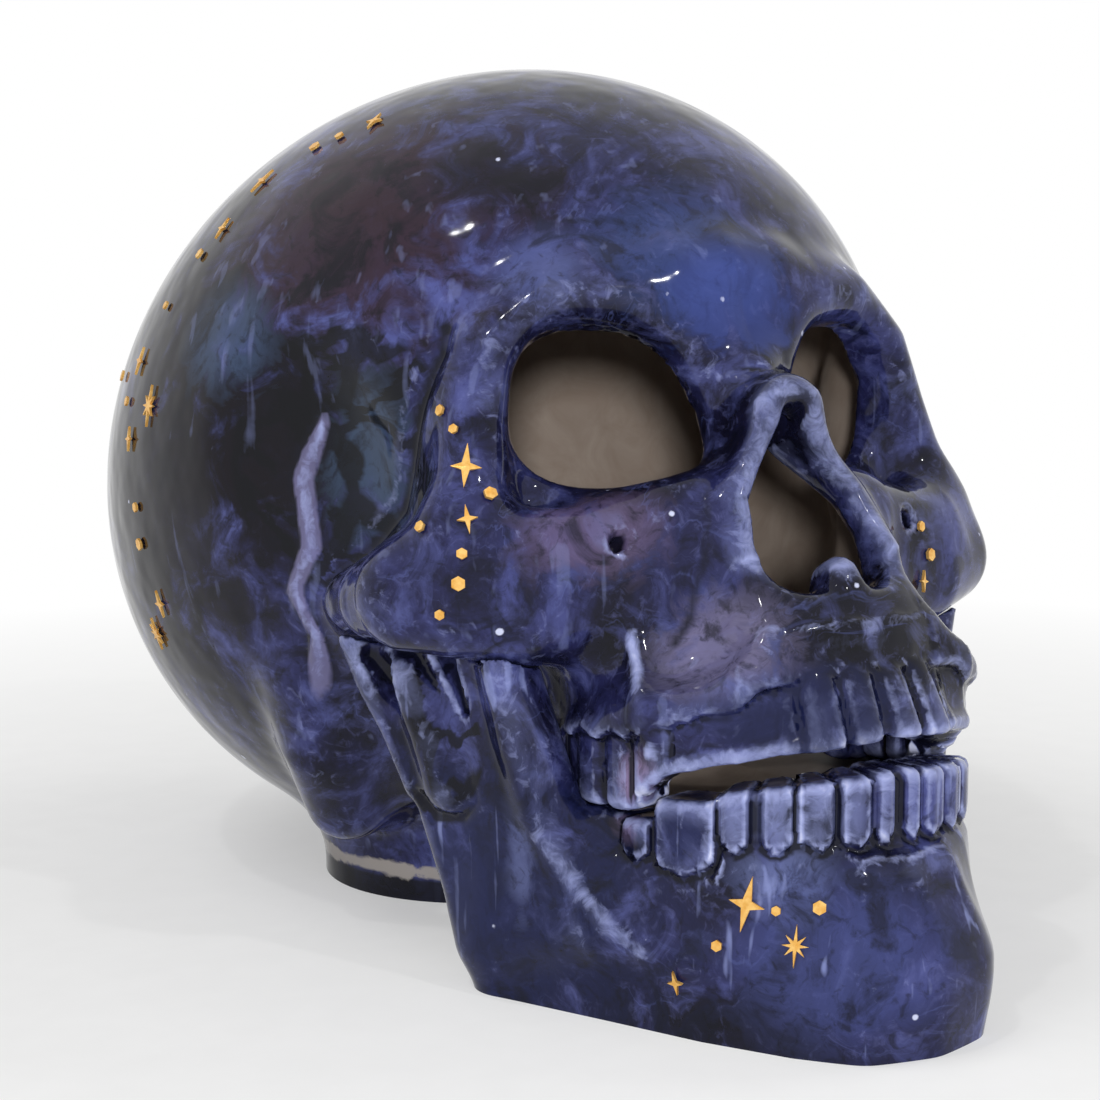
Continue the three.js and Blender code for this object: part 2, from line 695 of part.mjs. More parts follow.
/**
 * Draws short edges together. Cuts leave slivers where two surfaces nearly meet, so each edge
 * below the shortest length is closed onto one end, if no face turns over and the solid stays closed.
 */
function withoutSlivers(solid) {
  const { vertProperties, triVerts } = solid.getMesh();
  const spots = [];
  for (let i = 0; i < vertProperties.length; i += 3) {
    spots.push(new THREE.Vector3().fromArray(vertProperties, i));
  }
  const faces = [];
  const facesAt = spots.map(() => new Set());
  for (let i = 0; i < triVerts.length; i += 3) {
    const face = [triVerts[i], triVerts[i + 1], triVerts[i + 2]];
    face.forEach((v) => facesAt[v].add(faces.length));
    faces.push(face);
  }
  const around = (v) => new Set([...facesAt[v]].flatMap((f) => faces[f]).filter((w) => w !== v));
  const normalOf = (face) => faceNormal(...face.map((v) => spots[v]));
  const canClose = (from, to) => {
    const shared = [...around(from)].filter((v) => around(to).has(v));
    if (shared.length !== 2) {
      return false;
    }
    return [...facesAt[from]].filter((f) => !faces[f].includes(to)).every((f) => {
      const before = normalOf(faces[f]);
      const after = normalOf(faces[f].map((v) => (v === from ? to : v)));
      const thin = before.length() < shortestEdge ** 2 / 4;
      return after.length() > 0 && (thin || before.dot(after) > before.length() * after.length() / 2);
    });
  };
  const close = (from, to) => {
    for (const f of [...facesAt[from]]) {
      if (faces[f].includes(to)) {
        faces[f].forEach((v) => facesAt[v].delete(f));
        faces[f] = null;
      } else {
        faces[f] = faces[f].map((v) => (v === from ? to : v));
        facesAt[to].add(f);
      }
    }
    facesAt[from].clear();
  };
  for (let f = 0; f < faces.length; f += 1) {
    for (let e = 0; faces[f] !== null && e < 3; e += 1) {
      const [a, b] = [faces[f][e], faces[f][(e + 1) % 3]];
      if (spots[a].distanceTo(spots[b]) < shortestEdge) {
        if (canClose(a, b)) {
          close(a, b);
        } else if (canClose(b, a)) {
          close(b, a);
        }
      }
    }
  }
  const swapLongest = (f) => {
    const [e] = [0, 1, 2].sort((m, n) => edgeLength(faces[f], n) - edgeLength(faces[f], m));
    const [a, b, c] = [0, 1, 2].map((i) => faces[f][(e + i) % 3]);
    const other = [...facesAt[a]].find((n) => n !== f && faces[n].includes(b));
    const d = faces[other].find((v) => v !== a && v !== b);
    if (around(c).has(d)) {
      return;
    }
    for (const [n, face] of [[f, [a, d, c]], [other, [d, b, c]]]) {
      faces[n].forEach((v) => facesAt[v].delete(n));
      faces[n] = face;
      face.forEach((v) => facesAt[v].add(n));
    }
  };
  const edgeLength = (face, e) => spots[face[e]].distanceTo(spots[face[(e + 1) % 3]]);
  faces.forEach((face, f) => {
    if (face !== null) {
      const longest = Math.max(...[0, 1, 2].map((e) => edgeLength(face, e)));
      if (normalOf(face).length() / longest < thinnestFace) {
        swapLongest(f);
      }
    }
  });
  return { spots, faces: faces.filter((face) => face !== null) };
}

function meshOf(name, solid, material) {
  const { spots, faces } = withoutSlivers(solid);
  const geometry = new THREE.BufferGeometry().setFromPoints(spots);
  geometry.setIndex(faces.flat());
  geometry.computeVertexNormals();
  const mesh = new THREE.Mesh(geometry, material);
  mesh.name = name;
  return mesh;
}

const glaze = new THREE.MeshStandardMaterial({ color: 0x1d2352, roughness: 0.12, metalness: 0 });
const jawGlaze = new THREE.MeshStandardMaterial({ color: 0x252c66, roughness: 0.12, metalness: 0 });
const lustre = new THREE.MeshStandardMaterial({ color: 0xd9a548, roughness: 0.25, metalness: 1 });

const skull = new THREE.Group();
const inside = hollowSolid();

/** The head without what lies well behind the seam. */
function headAhead(p) {
  const halfCell = fineCell / 2;
  return Math.max(headOuter(p), seamBack - halfCell - p.g);
}

function faceCasting() {
  let solid = netSolid(headAhead, ...faceGrid());
  for (const tooth of upperTeeth()) {
    solid = solid.add(tooth);
  }
  return solid.subtract(inside).subtract(seamTrim(true));
}

function vaultCasting() {
  const halfCell = broadCell / 2;
  const start = -seamBack - halfCell;
  const closed = (p) => Math.max(headOuter(p), p.g - seamBack - halfCell / 2);
  const solid = netSolid(
    closed,
    gridLines([-sideways, sideways], [broadCell]),
    gridLines([start, reachBehind], [broadCell]),
    gridLines([below, topHeight], [broadCell]),
  );
  return solid.subtract(inside).subtract(seamTrim(false)).subtract(tableTrim());
}

function jawCasting() {
  const [xs, ys, zs] = faceGrid();
  const grown = (p) => headAhead(p) - luteGap - lutePlay;
  let solid = netSolid(jawForm, xs, ys, zs);
  for (const tooth of lowerTeeth()) {
    solid = solid.add(tooth);
  }
  return solid.subtract(netSolid(grown, xs, ys, zs)).subtract(tableTrim());
}

skull.add(meshOf('vault_casting', vaultCasting(), glaze));
skull.add(meshOf('face_casting', faceCasting(), glaze));
skull.add(meshOf('mandible_casting', jawCasting(), jawGlaze));

// Gold lustre, brushed on after the glaze: stars of four or eight points, and dots with none.
// A row has the place of a mark in the head frame, its points, its size and its turn in degrees.
const cheekMarkShares = [
  [-0.65, 0.74, 0.13, 4, 1, 4], [-0.68, 0.74, 0.01, 4, 0.66, -8], [-0.66, 0.72, 0.28, 0, 0.8, 0],
  [-0.65, 0.74, 0.22, 0, 0.7, 0], [-0.62, 0.75, 0.06, 0, 1, 0], [-0.75, 0.68, 0.03, 0, 0.8, 0],
  [-0.7, 0.72, -0.06, 0, 0.8, 0], [-0.72, 0.71, -0.12, 0, 1, 0], [-0.76, 0.68, -0.17, 0, 0.7, 0],
];
const farCheekMarkShares = [
  [0.43, 0.81, -0.12, 0, 0.8, 0], [0.46, 0.78, -0.18, 0, 1, 0], [0.43, 0.77, -0.24, 4, 0.5, 6],
];
const chinMarkShares = [
  [-0.3, 0.77, -0.9, 4, 1.15, 10], [-0.25, 0.81, -1.01, 8, 0.85, 0], [-0.38, 0.6, -1.0, 4, 0.55, -6],
  [-0.34, 0.7, -0.96, 0, 0.8, 0], [-0.26, 0.8, -0.93, 0, 0.7, 0], [-0.2, 0.85, -0.95, 0, 1, 0],
];
const sideMarkShares = [
  [-0.95, 0.01, 0.85, 4, 0.7, 6], [-0.98, 0.07, 0.69, 8, 1, 0], [-0.99, -0.05, 0.67, 4, 0.6, -5],
  [-0.97, -0.06, 0.78, 0, 0.8, 0], [-0.93, -0.14, 0.9, 0, 0.9, 0], [-1, -0.08, 0.5, 0, 0.8, 0],
  [-0.99, -0.12, 0.42, 0, 1, 0], [-0.96, -0.15, 0.27, 4, 0.7, 0], [-0.93, -0.26, 0.24, 8, 0.9, 8],
];
const templeMarkShares = [
  [-0.51, 0.55, 1.15, 4, 0.7, -10], [-0.57, 0.49, 1.15, 0, 0.8, 0], [-0.61, 0.44, 1.16, 0, 1, 0],
  [-0.7, 0.33, 1.14, 4, 0.75, 12], [-0.8, 0.27, 1.05, 4, 0.6, 0], [-0.84, 0.21, 1.02, 0, 0.9, 0],
  [-0.9, 0.11, 0.94, 0, 0.7, 0],
];
const starShares = { waist: 0.64, valley: 0.22, sharp: 8 };
const dotSides = 6;

/** Outline of a mark, flat and about its middle. */
function markOutline(points, size, turn) {
  const sides = points === 0 ? dotSides : points * 2;
  return Array.from({ length: sides }, (_, i) => {
    const angle = i * Math.PI * 2 / sides;
    const slim = Math.abs(Math.cos(angle)) ** starShares.sharp;
    const tip = THREE.MathUtils.lerp(starShares.waist, 1, slim);
    const reach = i % 2 === 0 ? tip : starShares.valley;
    const radius = points === 0 ? size * dotWidth / 2 : size * reach * starHeight / 2;
    const heading = angle + THREE.MathUtils.degToRad(turn);
    return [radius * Math.sin(heading), radius * Math.cos(heading)];
  });
}

/** A thin plate of lustre whose outline is laid on the glaze point by point. */
function lustreMark(name, field, [x, f, z, points, size, turn]) {
  const middle = settle(field, toPart(place([x, f, z])));
  const out = new THREE.Vector3(...slopeAt(field, middle, field(probe(...middle)))).normalize();
  const across = new THREE.Vector3(0, 0, 1).cross(out).normalize();
  const along = out.clone().cross(across);
  const outline = [[0, 0], ...markOutline(points, size, turn)];
  const layer = (level) => outline.map(([u, v]) => {
    const spot = new THREE.Vector3(...middle).addScaledVector(across, u).addScaledVector(along, v);
    return new THREE.Vector3(...settle((p) => field(p) - level, spot.toArray()));
  });
  const under = layer(luteGap);
  const over = layer(luteGap + lustreThickness);
  const count = outline.length;
  const faces = [];
  for (let i = 1; i < count; i += 1) {
    const next = i === count - 1 ? 1 : i + 1;
    faces.push([0, i, next], [count, count + next, count + i]);
    faces.push([i, count + next, next], [i, count + i, count + next]);
  }
  const geometry = new THREE.BufferGeometry().setFromPoints([...under, ...over]);
  geometry.setIndex(faces.flat());
  geometry.computeVertexNormals();
  const mesh = new THREE.Mesh(geometry, lustre);
  mesh.name = name;
  return mesh;
}

function addMarks(area, field, rows) {
  const made = { star: 0, dot: 0 };
  for (const row of rows) {
    const kind = row[3] === 0 ? 'dot' : 'star';
    made[kind] += 1;
    skull.add(lustreMark(`${area}_${kind}_${made[kind]}`, field, row));
  }
}

addMarks('cheek', headOuter, cheekMarkShares);
addMarks('far_cheek', headOuter, farCheekMarkShares);
addMarks('chin', jawForm, chinMarkShares);
addMarks('side', headOuter, sideMarkShares);
addMarks('temple', headOuter, templeMarkShares);

export default skull;
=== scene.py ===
import math
from types import SimpleNamespace

import bpy
import numpy as np
from mathutils import Matrix, Vector


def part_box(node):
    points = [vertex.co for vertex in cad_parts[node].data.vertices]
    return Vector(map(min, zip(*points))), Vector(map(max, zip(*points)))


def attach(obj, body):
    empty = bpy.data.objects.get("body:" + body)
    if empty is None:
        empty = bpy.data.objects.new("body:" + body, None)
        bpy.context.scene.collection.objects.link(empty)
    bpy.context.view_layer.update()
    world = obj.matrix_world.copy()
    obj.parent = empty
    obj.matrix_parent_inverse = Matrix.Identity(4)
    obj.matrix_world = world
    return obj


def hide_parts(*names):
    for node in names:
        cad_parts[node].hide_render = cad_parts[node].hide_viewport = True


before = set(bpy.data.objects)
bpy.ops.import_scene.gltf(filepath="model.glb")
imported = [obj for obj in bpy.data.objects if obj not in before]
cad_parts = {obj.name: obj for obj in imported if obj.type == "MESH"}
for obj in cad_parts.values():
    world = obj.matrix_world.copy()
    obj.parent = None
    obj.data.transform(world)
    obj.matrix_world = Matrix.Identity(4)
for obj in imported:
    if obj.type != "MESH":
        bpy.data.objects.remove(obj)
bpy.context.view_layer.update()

# Camera
# The skull is seen from its right front and a little above, close enough that the brow looms.
# Places are in millimetres on the table, turned to metres by the unit below.
millimetre = 0.001
sensor_width = 36
lens_length = 66.07
camera_turn = math.radians(-31.528)
camera_rise = math.radians(7.218)
camera_roll = math.radians(-0.244)
camera_distance = 412.07
camera_aim = Vector((0.497, 3.188, 68.563))
nearest_seen, farthest_seen = 10, 5000


def place_camera():
    """Puts the camera round the aim, rolled a little about its own line of sight."""
    back = Vector((
        math.sin(camera_turn) * math.cos(camera_rise),
        -math.cos(camera_turn) * math.cos(camera_rise),
        math.sin(camera_rise),
    ))
    level = Vector((math.cos(camera_turn), math.sin(camera_turn), 0))
    upright = back.cross(level)
    right = math.cos(camera_roll) * level + math.sin(camera_roll) * upright
    up = math.cos(camera_roll) * upright - math.sin(camera_roll) * level
    lens = bpy.data.cameras.new("skull_camera")
    lens.sensor_width = sensor_width
    lens.lens = lens_length
    lens.clip_start = nearest_seen * millimetre
    lens.clip_end = farthest_seen * millimetre
    camera = bpy.data.objects.new("skull_camera", lens)
    bpy.context.scene.collection.objects.link(camera)
    turn = Matrix((right, up, back)).transposed().to_4x4()
    turn.translation = (camera_aim + back * camera_distance) * millimetre
    camera.matrix_world = turn
    bpy.context.scene.camera = camera


place_camera()

# Cranium and face
# The head is slip-cast white earthenware, a hollow shell 5 mm thick, in two castings luted together
# behind the cheekbones. Its form is a signed distance, read in the head's own frame: x to the side,
# f forward and z up from the middle of the ear line, and also reach g and height h on the table.
skull_width = 158
vault_length = 185
vault_height = 154
head_tilt = math.radians(29)
wall = 5
table_clearance = 3
seam = -24
foot_halves = (38.5, 34)
foot_back = 23
foot_height = 14
foot_ring = 8
vault_radii = (skull_width / 2, vault_length / 2, vault_height / 2)
vault_centre = (0, -0.063 * vault_radii[1], 0.545 * vault_radii[2])
tilted_half_height = math.hypot(
    vault_radii[1] * math.sin(head_tilt), vault_radii[2] * math.cos(head_tilt)
)
lift = (
    table_clearance + tilted_half_height
    - vault_centre[1] * math.sin(head_tilt) - vault_centre[2] * math.cos(head_tilt)
)


def probe(points):
    """Points of the table frame as the forms read them. In x the two sides of the skull are alike."""
    up = points[:, 2] - lift
    return SimpleNamespace(
        x=np.abs(points[:, 0]),
        f=up * math.sin(head_tilt) - points[:, 1] * math.cos(head_tilt),
        z=points[:, 1] * math.sin(head_tilt) + up * math.cos(head_tilt),
        g=-points[:, 1],
        h=points[:, 2],
    )


def join(a, b, soft):
    """Two forms in one, with a fillet between them."""
    near = np.maximum(soft - np.abs(a - b), 0) / soft
    return np.minimum(a, b) - near * near * soft / 4


def carve(a, b, soft):
    """The first form with the second cut out of it, and the edge eased."""
    return -join(-a, b, soft)


tiny = 1e-6


def egg(x, f, z, centre, radii):
    """Distance to an egg, near enough to its skin."""
    u, v, w = ((a - c) / r for a, c, r in zip((x, f, z), centre, radii))
    reach = np.sqrt(u * u + v * v + w * w)
    slope = np.sqrt((u / radii[0]) ** 2 + (v / radii[1]) ** 2 + (w / radii[2]) ** 2)
    return reach * (reach - 1) / np.maximum(slope, tiny)


def bar(x, f, z, a, b):
    """Distance to a round bar between two places, each with its radius after it."""
    run = [b[i] - a[i] for i in range(3)]
    off = [x - a[0], f - a[1], z - a[2]]
    square = sum(v * v for v in run)
    t = np.clip(sum(o * v for o, v in zip(off, run)) / square, 0, 1)
    gap = np.sqrt(sum((o - t * v) ** 2 for o, v in zip(off, run)))
    return gap - (a[3] + (b[3] - a[3]) * t)


# A ridge is read no farther than this from its surface, past which it changes nothing
far = 12


def ridge(p, knots):
    """Distance to a round bar through knots of place and radius, no more than far."""
    spots = np.array(knots)
    margin = far + spots[:, 3].max()
    low, high = spots[:, :3].min(0) - margin, spots[:, :3].max(0) + margin
    near = (p.x < high[0]) & (p.x > low[0]) & (p.f < high[1]) & (p.f > low[1])
    near &= (p.z < high[2]) & (p.z > low[2])
    x, f, z = p.x[near], p.f[near], p.z[near]
    gap = np.full_like(x, far)
    for a, b in zip(knots, knots[1:]):
        gap = np.minimum(gap, bar(x, f, z, a, b))
    everywhere = np.full_like(p.x, far)
    everywhere[near] = gap
    return everywhere


def scored(form, p, places, width, depth):
    """A form with a groove of that depth drawn along its surface, or a bead where depth is below 0."""
    gap = ridge(p, [(*place, 0) for place in places])
    return form + depth * np.exp(-((gap / width) ** 2))


def along_plan(x, g, curve):
    """Distance to a curve in plan, and how far along it the nearest point lies."""
    best = np.full_like(x, np.inf)
    run = np.zeros_like(x)
    before = 0
    for (ax, ag), (bx, bg) in zip(curve, curve[1:]):
        length = math.hypot(bx - ax, bg - ag)
        t = np.clip(((x - ax) * (bx - ax) + (g - ag) * (bg - ag)) / length ** 2, 0, 1)
        gap = np.hypot(x - ax - t * (bx - ax), g - ag - t * (bg - ag))
        nearer = gap < best
        best = np.where(nearer, gap, best)
        run = np.where(nearer, before + t * length, run)
        before += length
    return best, run


def wall_on(gap, half_thick, level, low, high, rounding):
    """A wall that stands on a plan curve, from a low to a high level, with rounded edges."""
    side = gap - (half_thick - rounding)
    end = np.maximum(low + rounding - level, level - high + rounding)
    outside = np.hypot(np.maximum(side, 0), np.maximum(end, 0))
    return outside + np.minimum(np.maximum(side, end), 0) - rounding


def spin(u, v, degrees):
    """Two coordinates as read from a frame that is turned by some degrees."""
    c, s = math.cos(math.radians(degrees)), math.sin(math.radians(degrees))
    return c * u + s * v, c * v - s * u


# The egg of the vault, with hollow temples, a rounded bone behind the ear and an oval foot
temple_hollow = ((78, 46, 17), (24.5, 21, 31))
mastoid = [(57, 6, -4, 7), (53, -4, -14, 8), (46, -16, -22, 8)]
vault_fillet = 9
face_fillet = 14


def vault_form(p):
    """The plain cranium on its foot, which reaches a little under the table until it is cut flat."""
    form = egg(p.x, p.f, p.z, vault_centre, vault_radii)
    form = carve(form, egg(p.x, p.f, p.z, *temple_hollow), vault_fillet)
    oval = (np.hypot(p.x / foot_halves[0], (p.g + foot_back) / foot_halves[1]) - 1) * foot_halves[1]
    foot = np.maximum(oval, np.maximum(p.h - foot_height, -wall - p.h))
    return join(form, foot, vault_fillet)


face_core = ((0, 54, -14), (34, 34, 31))


def mould_form(p):
    """The vault with the plain mass of the face under it, which sets the hollow inside."""
    return join(vault_form(p), egg(p.x, p.f, p.z, *face_core), face_fillet)


# Ridges of the face: place in the head frame and radius
brow = [
    (7, 79, 29, 6), (18, 79, 34.5, 6.3), (31, 76.5, 34.5, 6.2), (41.5, 71, 29, 5.8),
    (46, 66.5, 19, 5.5), (49, 63.5, 9, 5.6), (51, 61, 2, 6),
]
eye_rim = [
    (51, 60, 1, 6.5), (44, 65.5, -4, 6.5), (34, 69.5, -5.5, 6), (24, 73, -4.5, 5.5), (16.2, 75.4, 1, 5),
    (12.5, 76.5, 11, 5), (10, 76.5, 22, 5.5),
]
cheekbone = [
    (30, 62, -14, 10), (42, 61, -13, 9.5), (53, 57, -9, 9.5), (58.5, 52, -6, 8.8), (60.5, 44, -3, 6.2),
    (61.5, 36, 0.3, 3.8),
]
cheek_shelf = [(58, 50, -3, 6), (57, 36, 0, 5), (54, 24, 2, 5)]
nose_bridge = [(0, 77.5, 26, 5.5), (0, 86, 9, 6)]
nose_spine = [(0, 80, -34, 7), (0, 88.5, -22.5, 3.4)]
glabella = [(0, 84.5, 38, 4), (9, 82.5, 38, 4)]
# Each ridge is joined on with a fillet of its own, in this order
head_ridges = [
    (mastoid, 9), (brow, 9), (eye_rim, 7), (cheekbone, 7), (cheek_shelf, 7), (nose_bridge, 7),
    (glabella, 9),
]

# The eye window, a rounded square that narrows upwards, is turned outwards and tipped
eye_centre = (25.2, 76, 17.5)
eye_halves = (15.8, 13.4)
eye_turn = -16
eye_tip = -6
eye_slant = 0.22
eye_taper = 2
eye_squareness = 2.5
eye_depth = 20.4


def eye_outline(p):
    """Distance from the outline of the eye window, and how far in front of its middle a point lies."""
    u, f = spin(p.x - eye_centre[0], p.f - eye_centre[1], eye_turn)
    depth, v = spin(f, p.z - eye_centre[2], eye_tip)
    w = v - eye_slant * u
    across = eye_halves[0] - eye_taper * np.clip(w / eye_halves[1], -1, 1)
    sides = np.abs(u / across) ** eye_squareness + np.abs(w / eye_halves[1]) ** eye_squareness
    size = (sides + 1e-9) ** (1 / eye_squareness)
    return (size - 1) * eye_halves[1], depth


def eye_window(p):
    """The eye window as a form, which ends behind the rim."""
    gap, depth = eye_outline(p)
    return carve(gap, depth + eye_depth, 3)


# The nose window, a pear with two lobes and a spine between them, has a collar that stands out round it
nose_top = (0, 0, 5.5, 2.2)
nose_flank = (3.4, 0, -8, 7.4)
nose_middle = (0, 0, -10, 8.5)
nose_lobe = ((6, 0, -16.8), (7.2, vault_radii[1], 7.6))
nose_tip = ((0, 0, -38, 5.5), (0, 0, -22, 3.2))
nose_back = 52
collar_width = 5
collar_reach = 89
collar_edge = 3


def nose_outline(p):
    """Distance from the outline of the nose window."""
    flank = bar(p.x, 0, p.z, nose_top, nose_flank)
    pear = join(flank, bar(p.x, 0, p.z, nose_top, nose_middle), 2)
    lobes = join(pear, egg(p.x, 0, p.z, *nose_lobe), 4)
    return carve(lobes, bar(p.x, 0, p.z, *nose_tip), 2.5)


def collar_front(p):
    """How far forward the collar stands: bowed along its height, less at the sides and at its foot."""
    bow = 0.02 * np.clip(p.z + 5, -12, 15) ** 2
    return collar_reach + bow - 0.016 * p.x * p.x - 0.35 * np.clip(-17 - p.z, 0, 20)


def nose_collar(p):
    """The wall that stands round the nose window."""
    ring = carve(nose_outline(p) - collar_width, collar_front(p) - p.f, collar_edge)
    return carve(ring, p.f - nose_back, collar_edge)


# Upper row: its plan, the joints of its teeth along it, its bite line and its gum line over the table
upper_row = [
    (0, 96.8), (8.5, 95.7), (15.5, 93.6), (22, 89.8), (26.5, 85), (29.5, 79), (31, 71), (31, 62),
]
upper_joints = [0, 7, 14.2, 23.5, 31.4, 38.2, 44.6, 52]
upper_bite = ([0, 16, 27, 33, 36, 38, 52], [49, 47.6, 45.4, 43.4, 41, 36.4, 35.5])
upper_gum = ([0, 8, 14, 20, 24, 29, 33, 38, 52], [58.4, 58.4, 57.5, 56, 53, 51.6, 50, 48, 46.5])
# Half thicknesses of the row: what is left over the roots, the crowns, the core between them and the
# lip of clay under them
root_half, crown_half, core_half, lip_half = 4.2, 4.5, 3.5, 5
root_back = 60
lip_height = 2.8
gum_half = 5.4
gum_low, gum_high = -41.5, -33
maxilla = ((0, 57, -26), (31, 29, 20))
canine_hollow = ((29, 83, -24), (8, 7, 10))


def tooth_share(run, joints):
    """Distance along the row to the nearest joint between two teeth, and how near a tooth's middle is."""
    joints = np.asarray(joints)
    index = np.clip(np.searchsorted(joints, run, side="right") - 1, 0, len(joints) - 2)
    half = (joints[index + 1] - joints[index]) / 2
    off = np.abs(run - joints[index] - half)
    return (half - off).astype(run.dtype), (1 - off / half).astype(run.dtype)


def fade(value, start, full):
    """0 at the start, 1 where the value is full, and straight between them."""
    return np.clip((value - start) / (full - start), 0, 1)


def gum_lean(h, run):
    """How far the front of the upper gum leans back above its bite line."""
    return 0.5 * np.clip(h - 49, 0, 13) * fade(run, 26, 14)


def upper_teeth(form, p):
    """Cuts the gum back over the tooth band and sets the crowns and the lip under them into it. The
    front teeth are thicker, and those beside them are faint."""
    gap, run = along_plan(p.x, p.g, upper_row)
    gap = gap + gum_lean(p.h, run)
    to_joint, middle = tooth_share(run, upper_joints)
    bite = np.interp(run, *upper_bite).astype(run.dtype)
    faint = fade(run, 14, 17) * fade(run, 32, 30)
    front = fade(run, 17, 12)
    arch = 1.5 + 0.5 * front
    gum = np.interp(run, *upper_gum).astype(run.dtype) + arch * np.sqrt(np.clip(middle, 0, 1))
    below_gum = np.maximum(np.maximum(p.h - gum, root_half + 1.8 * front - gap), root_back - p.g)
    form = carve(form, below_gum, 2)
    bulge = 0.9 * np.sin(np.clip(middle, 0, 1) * math.pi / 2)
    thick = crown_half - 0.5 * faint + 2 * front
    crowns = wall_on(gap - bulge * (1 - faint), thick, p.h, bite, gum + 1.5, 2)
    crowns = carve(crowns, to_joint - 0.4 + 1.2 * faint, 1.3)
    core = wall_on(gap, core_half + 0.5 * faint + 2 * front, p.h, bite + 0.5, gum + 4, 1.5)
    lip = wall_on(gap, lip_half, p.h, bite, bite + lip_height, 1.3) + 2.5 * fade(run, 10, 5)
    lip = lip + 3 * fade(run, 35, 37)
    form = join(form, core, 1)
    form = join(form, crowns, 0.8)
    return join(form, lip, 1)


# Lines drawn in the clay: the channel behind the eye, the seam beside the nose, the crook at its root
# and the crest that runs down from the cheek to the back teeth
temple_channel = [
    (48.6, 68, 36), (49.6, 66.6, 32.5), (51.2, 64, 29.5), (52.5, 61.3, 26.4), (53.1, 56.9, 22.3),
    (52.7, 51.7, 17.5), (52.8, 45.9, 12.9), (55.5, 37.9, 10.3), (59.3, 33.3, 8.5), (61.8, 29.8, 6.7),
]
nose_seam = [
    (9.4, 85, 8.1), (11.6, 83.9, 4.1), (15.2, 83.4, 0), (16.8, 83.5, -3.2), (18.3, 83.4, -9),
    (19.9, 81.7, -14.3), (21.4, 78.5, -18.7), (22.6, 76.5, -22.8), (25.2, 74.6, -25.8),
]
nose_root = [(11.1, 82.8, 14.4), (10.2, 84.4, 18.1), (6.6, 86.3, 18.7), (2, 88.8, 17), (0, 89.6, 16.6)]
cheek_crest = [(30.7, 71.1, -22.9), (33.7, 73.4, -32.7), (33.5, 71, -42.5)]
# Each with its width, and its depth or, below 0, its height
head_lines = [
    (temple_channel, 1.8, 2.4), (nose_seam, 1.1, 0.2), (nose_root, 1, 0.8), (cheek_crest, 1.6, -0.8),
]

# The small hole under the eye, the roll of clay over the joint of the castings, the floor of the nose
# and the palate, which is left open
nerve_hole = [(31.2, 80, -7.6, 2.1), (31.2, 73.6, -8.2, 1.1)]
luting_roll = [
    (58.8, 39, 34, 0.8), (60.7, 33.6, 29.3, 1.6), (62.1, 31.1, 26, 1.7), (62.3, 29.7, 20, 1.6),
    (62.6, 28.7, 13.6, 1.7), (65.4, 23.5, 7.5, 1.2), (62.1, 21.5, -0.7, 1.4), (59.4, 14.3, -5.9, 2.4),
    (56.5, 0.9, -11.5, 3.4), (51.3, -13.9, -16.2, 3), (43, -34.7, -19.2, 1.6),
]
nose_floor = ((0, 80, -28), (22, 10.5, 9))
palate = ((0, 48, -36), (24, 31, 40))


def head_form(p):
    """Outside of the cranium and face, before the windows are cut."""
    form = mould_form(p)
    for knots, fillet in head_ridges:
        form = join(form, ridge(p, knots), fillet)
    form = join(form, nose_collar(p), 5)
    form = join(form, egg(p.x, p.f, p.z, *maxilla), 8)
    gap, run = along_plan(p.x, p.g, upper_row)
    gum = wall_on(gap + gum_lean(p.h, run), gum_half, p.z, gum_low, gum_high, 4)
    form = join(form, gum, face_fillet)
    form = join(form, egg(p.x, p.f, p.z, *nose_floor), 6)
    form = join(form, ridge(p, nose_spine), 4)
    form = carve(form, egg(p.x, p.f, p.z, *canine_hollow), 8)
    form = upper_teeth(form, p)
    for places, width, depth in head_lines:
        form = scored(form, p, places, width, depth)
    form = carve(form, ridge(p, nerve_hole), 1.2)
    roll = carve(ridge(p, luting_roll), 1.1 - form, 1.2)
    return join(form, roll, 0.8)


def head_outer(p):
    """Outside of the head with the windows cut through."""
    eyes = carve(head_form(p), eye_window(p), 6)
    return carve(eyes, np.maximum(nose_outline(p), nose_back - p.f), 3)


def window_flare(p):
    """Room behind the edges of the windows, which leaves them no thicker than the wall."""
    gap, depth = eye_outline(p)
    behind_eye = np.maximum(gap + np.minimum(depth + wall, 0), depth)
    ahead = p.f - collar_front(p)
    behind_nose = np.maximum(nose_outline(p) + np.minimum(ahead + wall, 0), ahead)
    return np.maximum(np.minimum(behind_eye, behind_nose), head_form(p) + wall)


def hollow(p):
    """The space that the slip leaves when it is poured out, open at the palate and the foot."""
    inside = mould_form(p) + wall
    across, deep = foot_halves[0] - foot_ring, foot_halves[1] - foot_ring
    oval = (np.hypot(p.x / across, (p.g + foot_back) / deep) - 1) * deep
    pour = np.maximum(oval, np.maximum(p.h - foot_height - wall, -wall - wall - p.h))
    inside = np.minimum(inside, window_flare(p))
    return np.minimum(np.minimum(inside, egg(p.x, p.f, p.z, *palate)), pour)


def head_shell(p):
    """The clay of the head, between its outside and the hollow."""
    return carve(head_outer(p), hollow(p), 1)


# The glaze turns in over the edges of the windows, this wide and this deep, and ends this far before
# the inner face of the wall
glazed_lip = 3.5
glazed_depth = 20
bare_margin = 0.4


def head_bare(p):
    """How far past the glaze a point lies."""
    eye_gap, depth = eye_outline(p)
    by_eye = np.maximum(eye_gap - glazed_lip, -depth - glazed_depth)
    by_nose = np.maximum(nose_outline(p) - glazed_lip, collar_front(p) - p.f - glazed_depth)
    return np.minimum(-head_form(p) - wall + bare_margin, np.minimum(by_eye, by_nose))


def head_luted(p):
    """1 on the roll of clay that covers the joint, and less away from it."""
    return 1 - ridge(p, luting_roll)


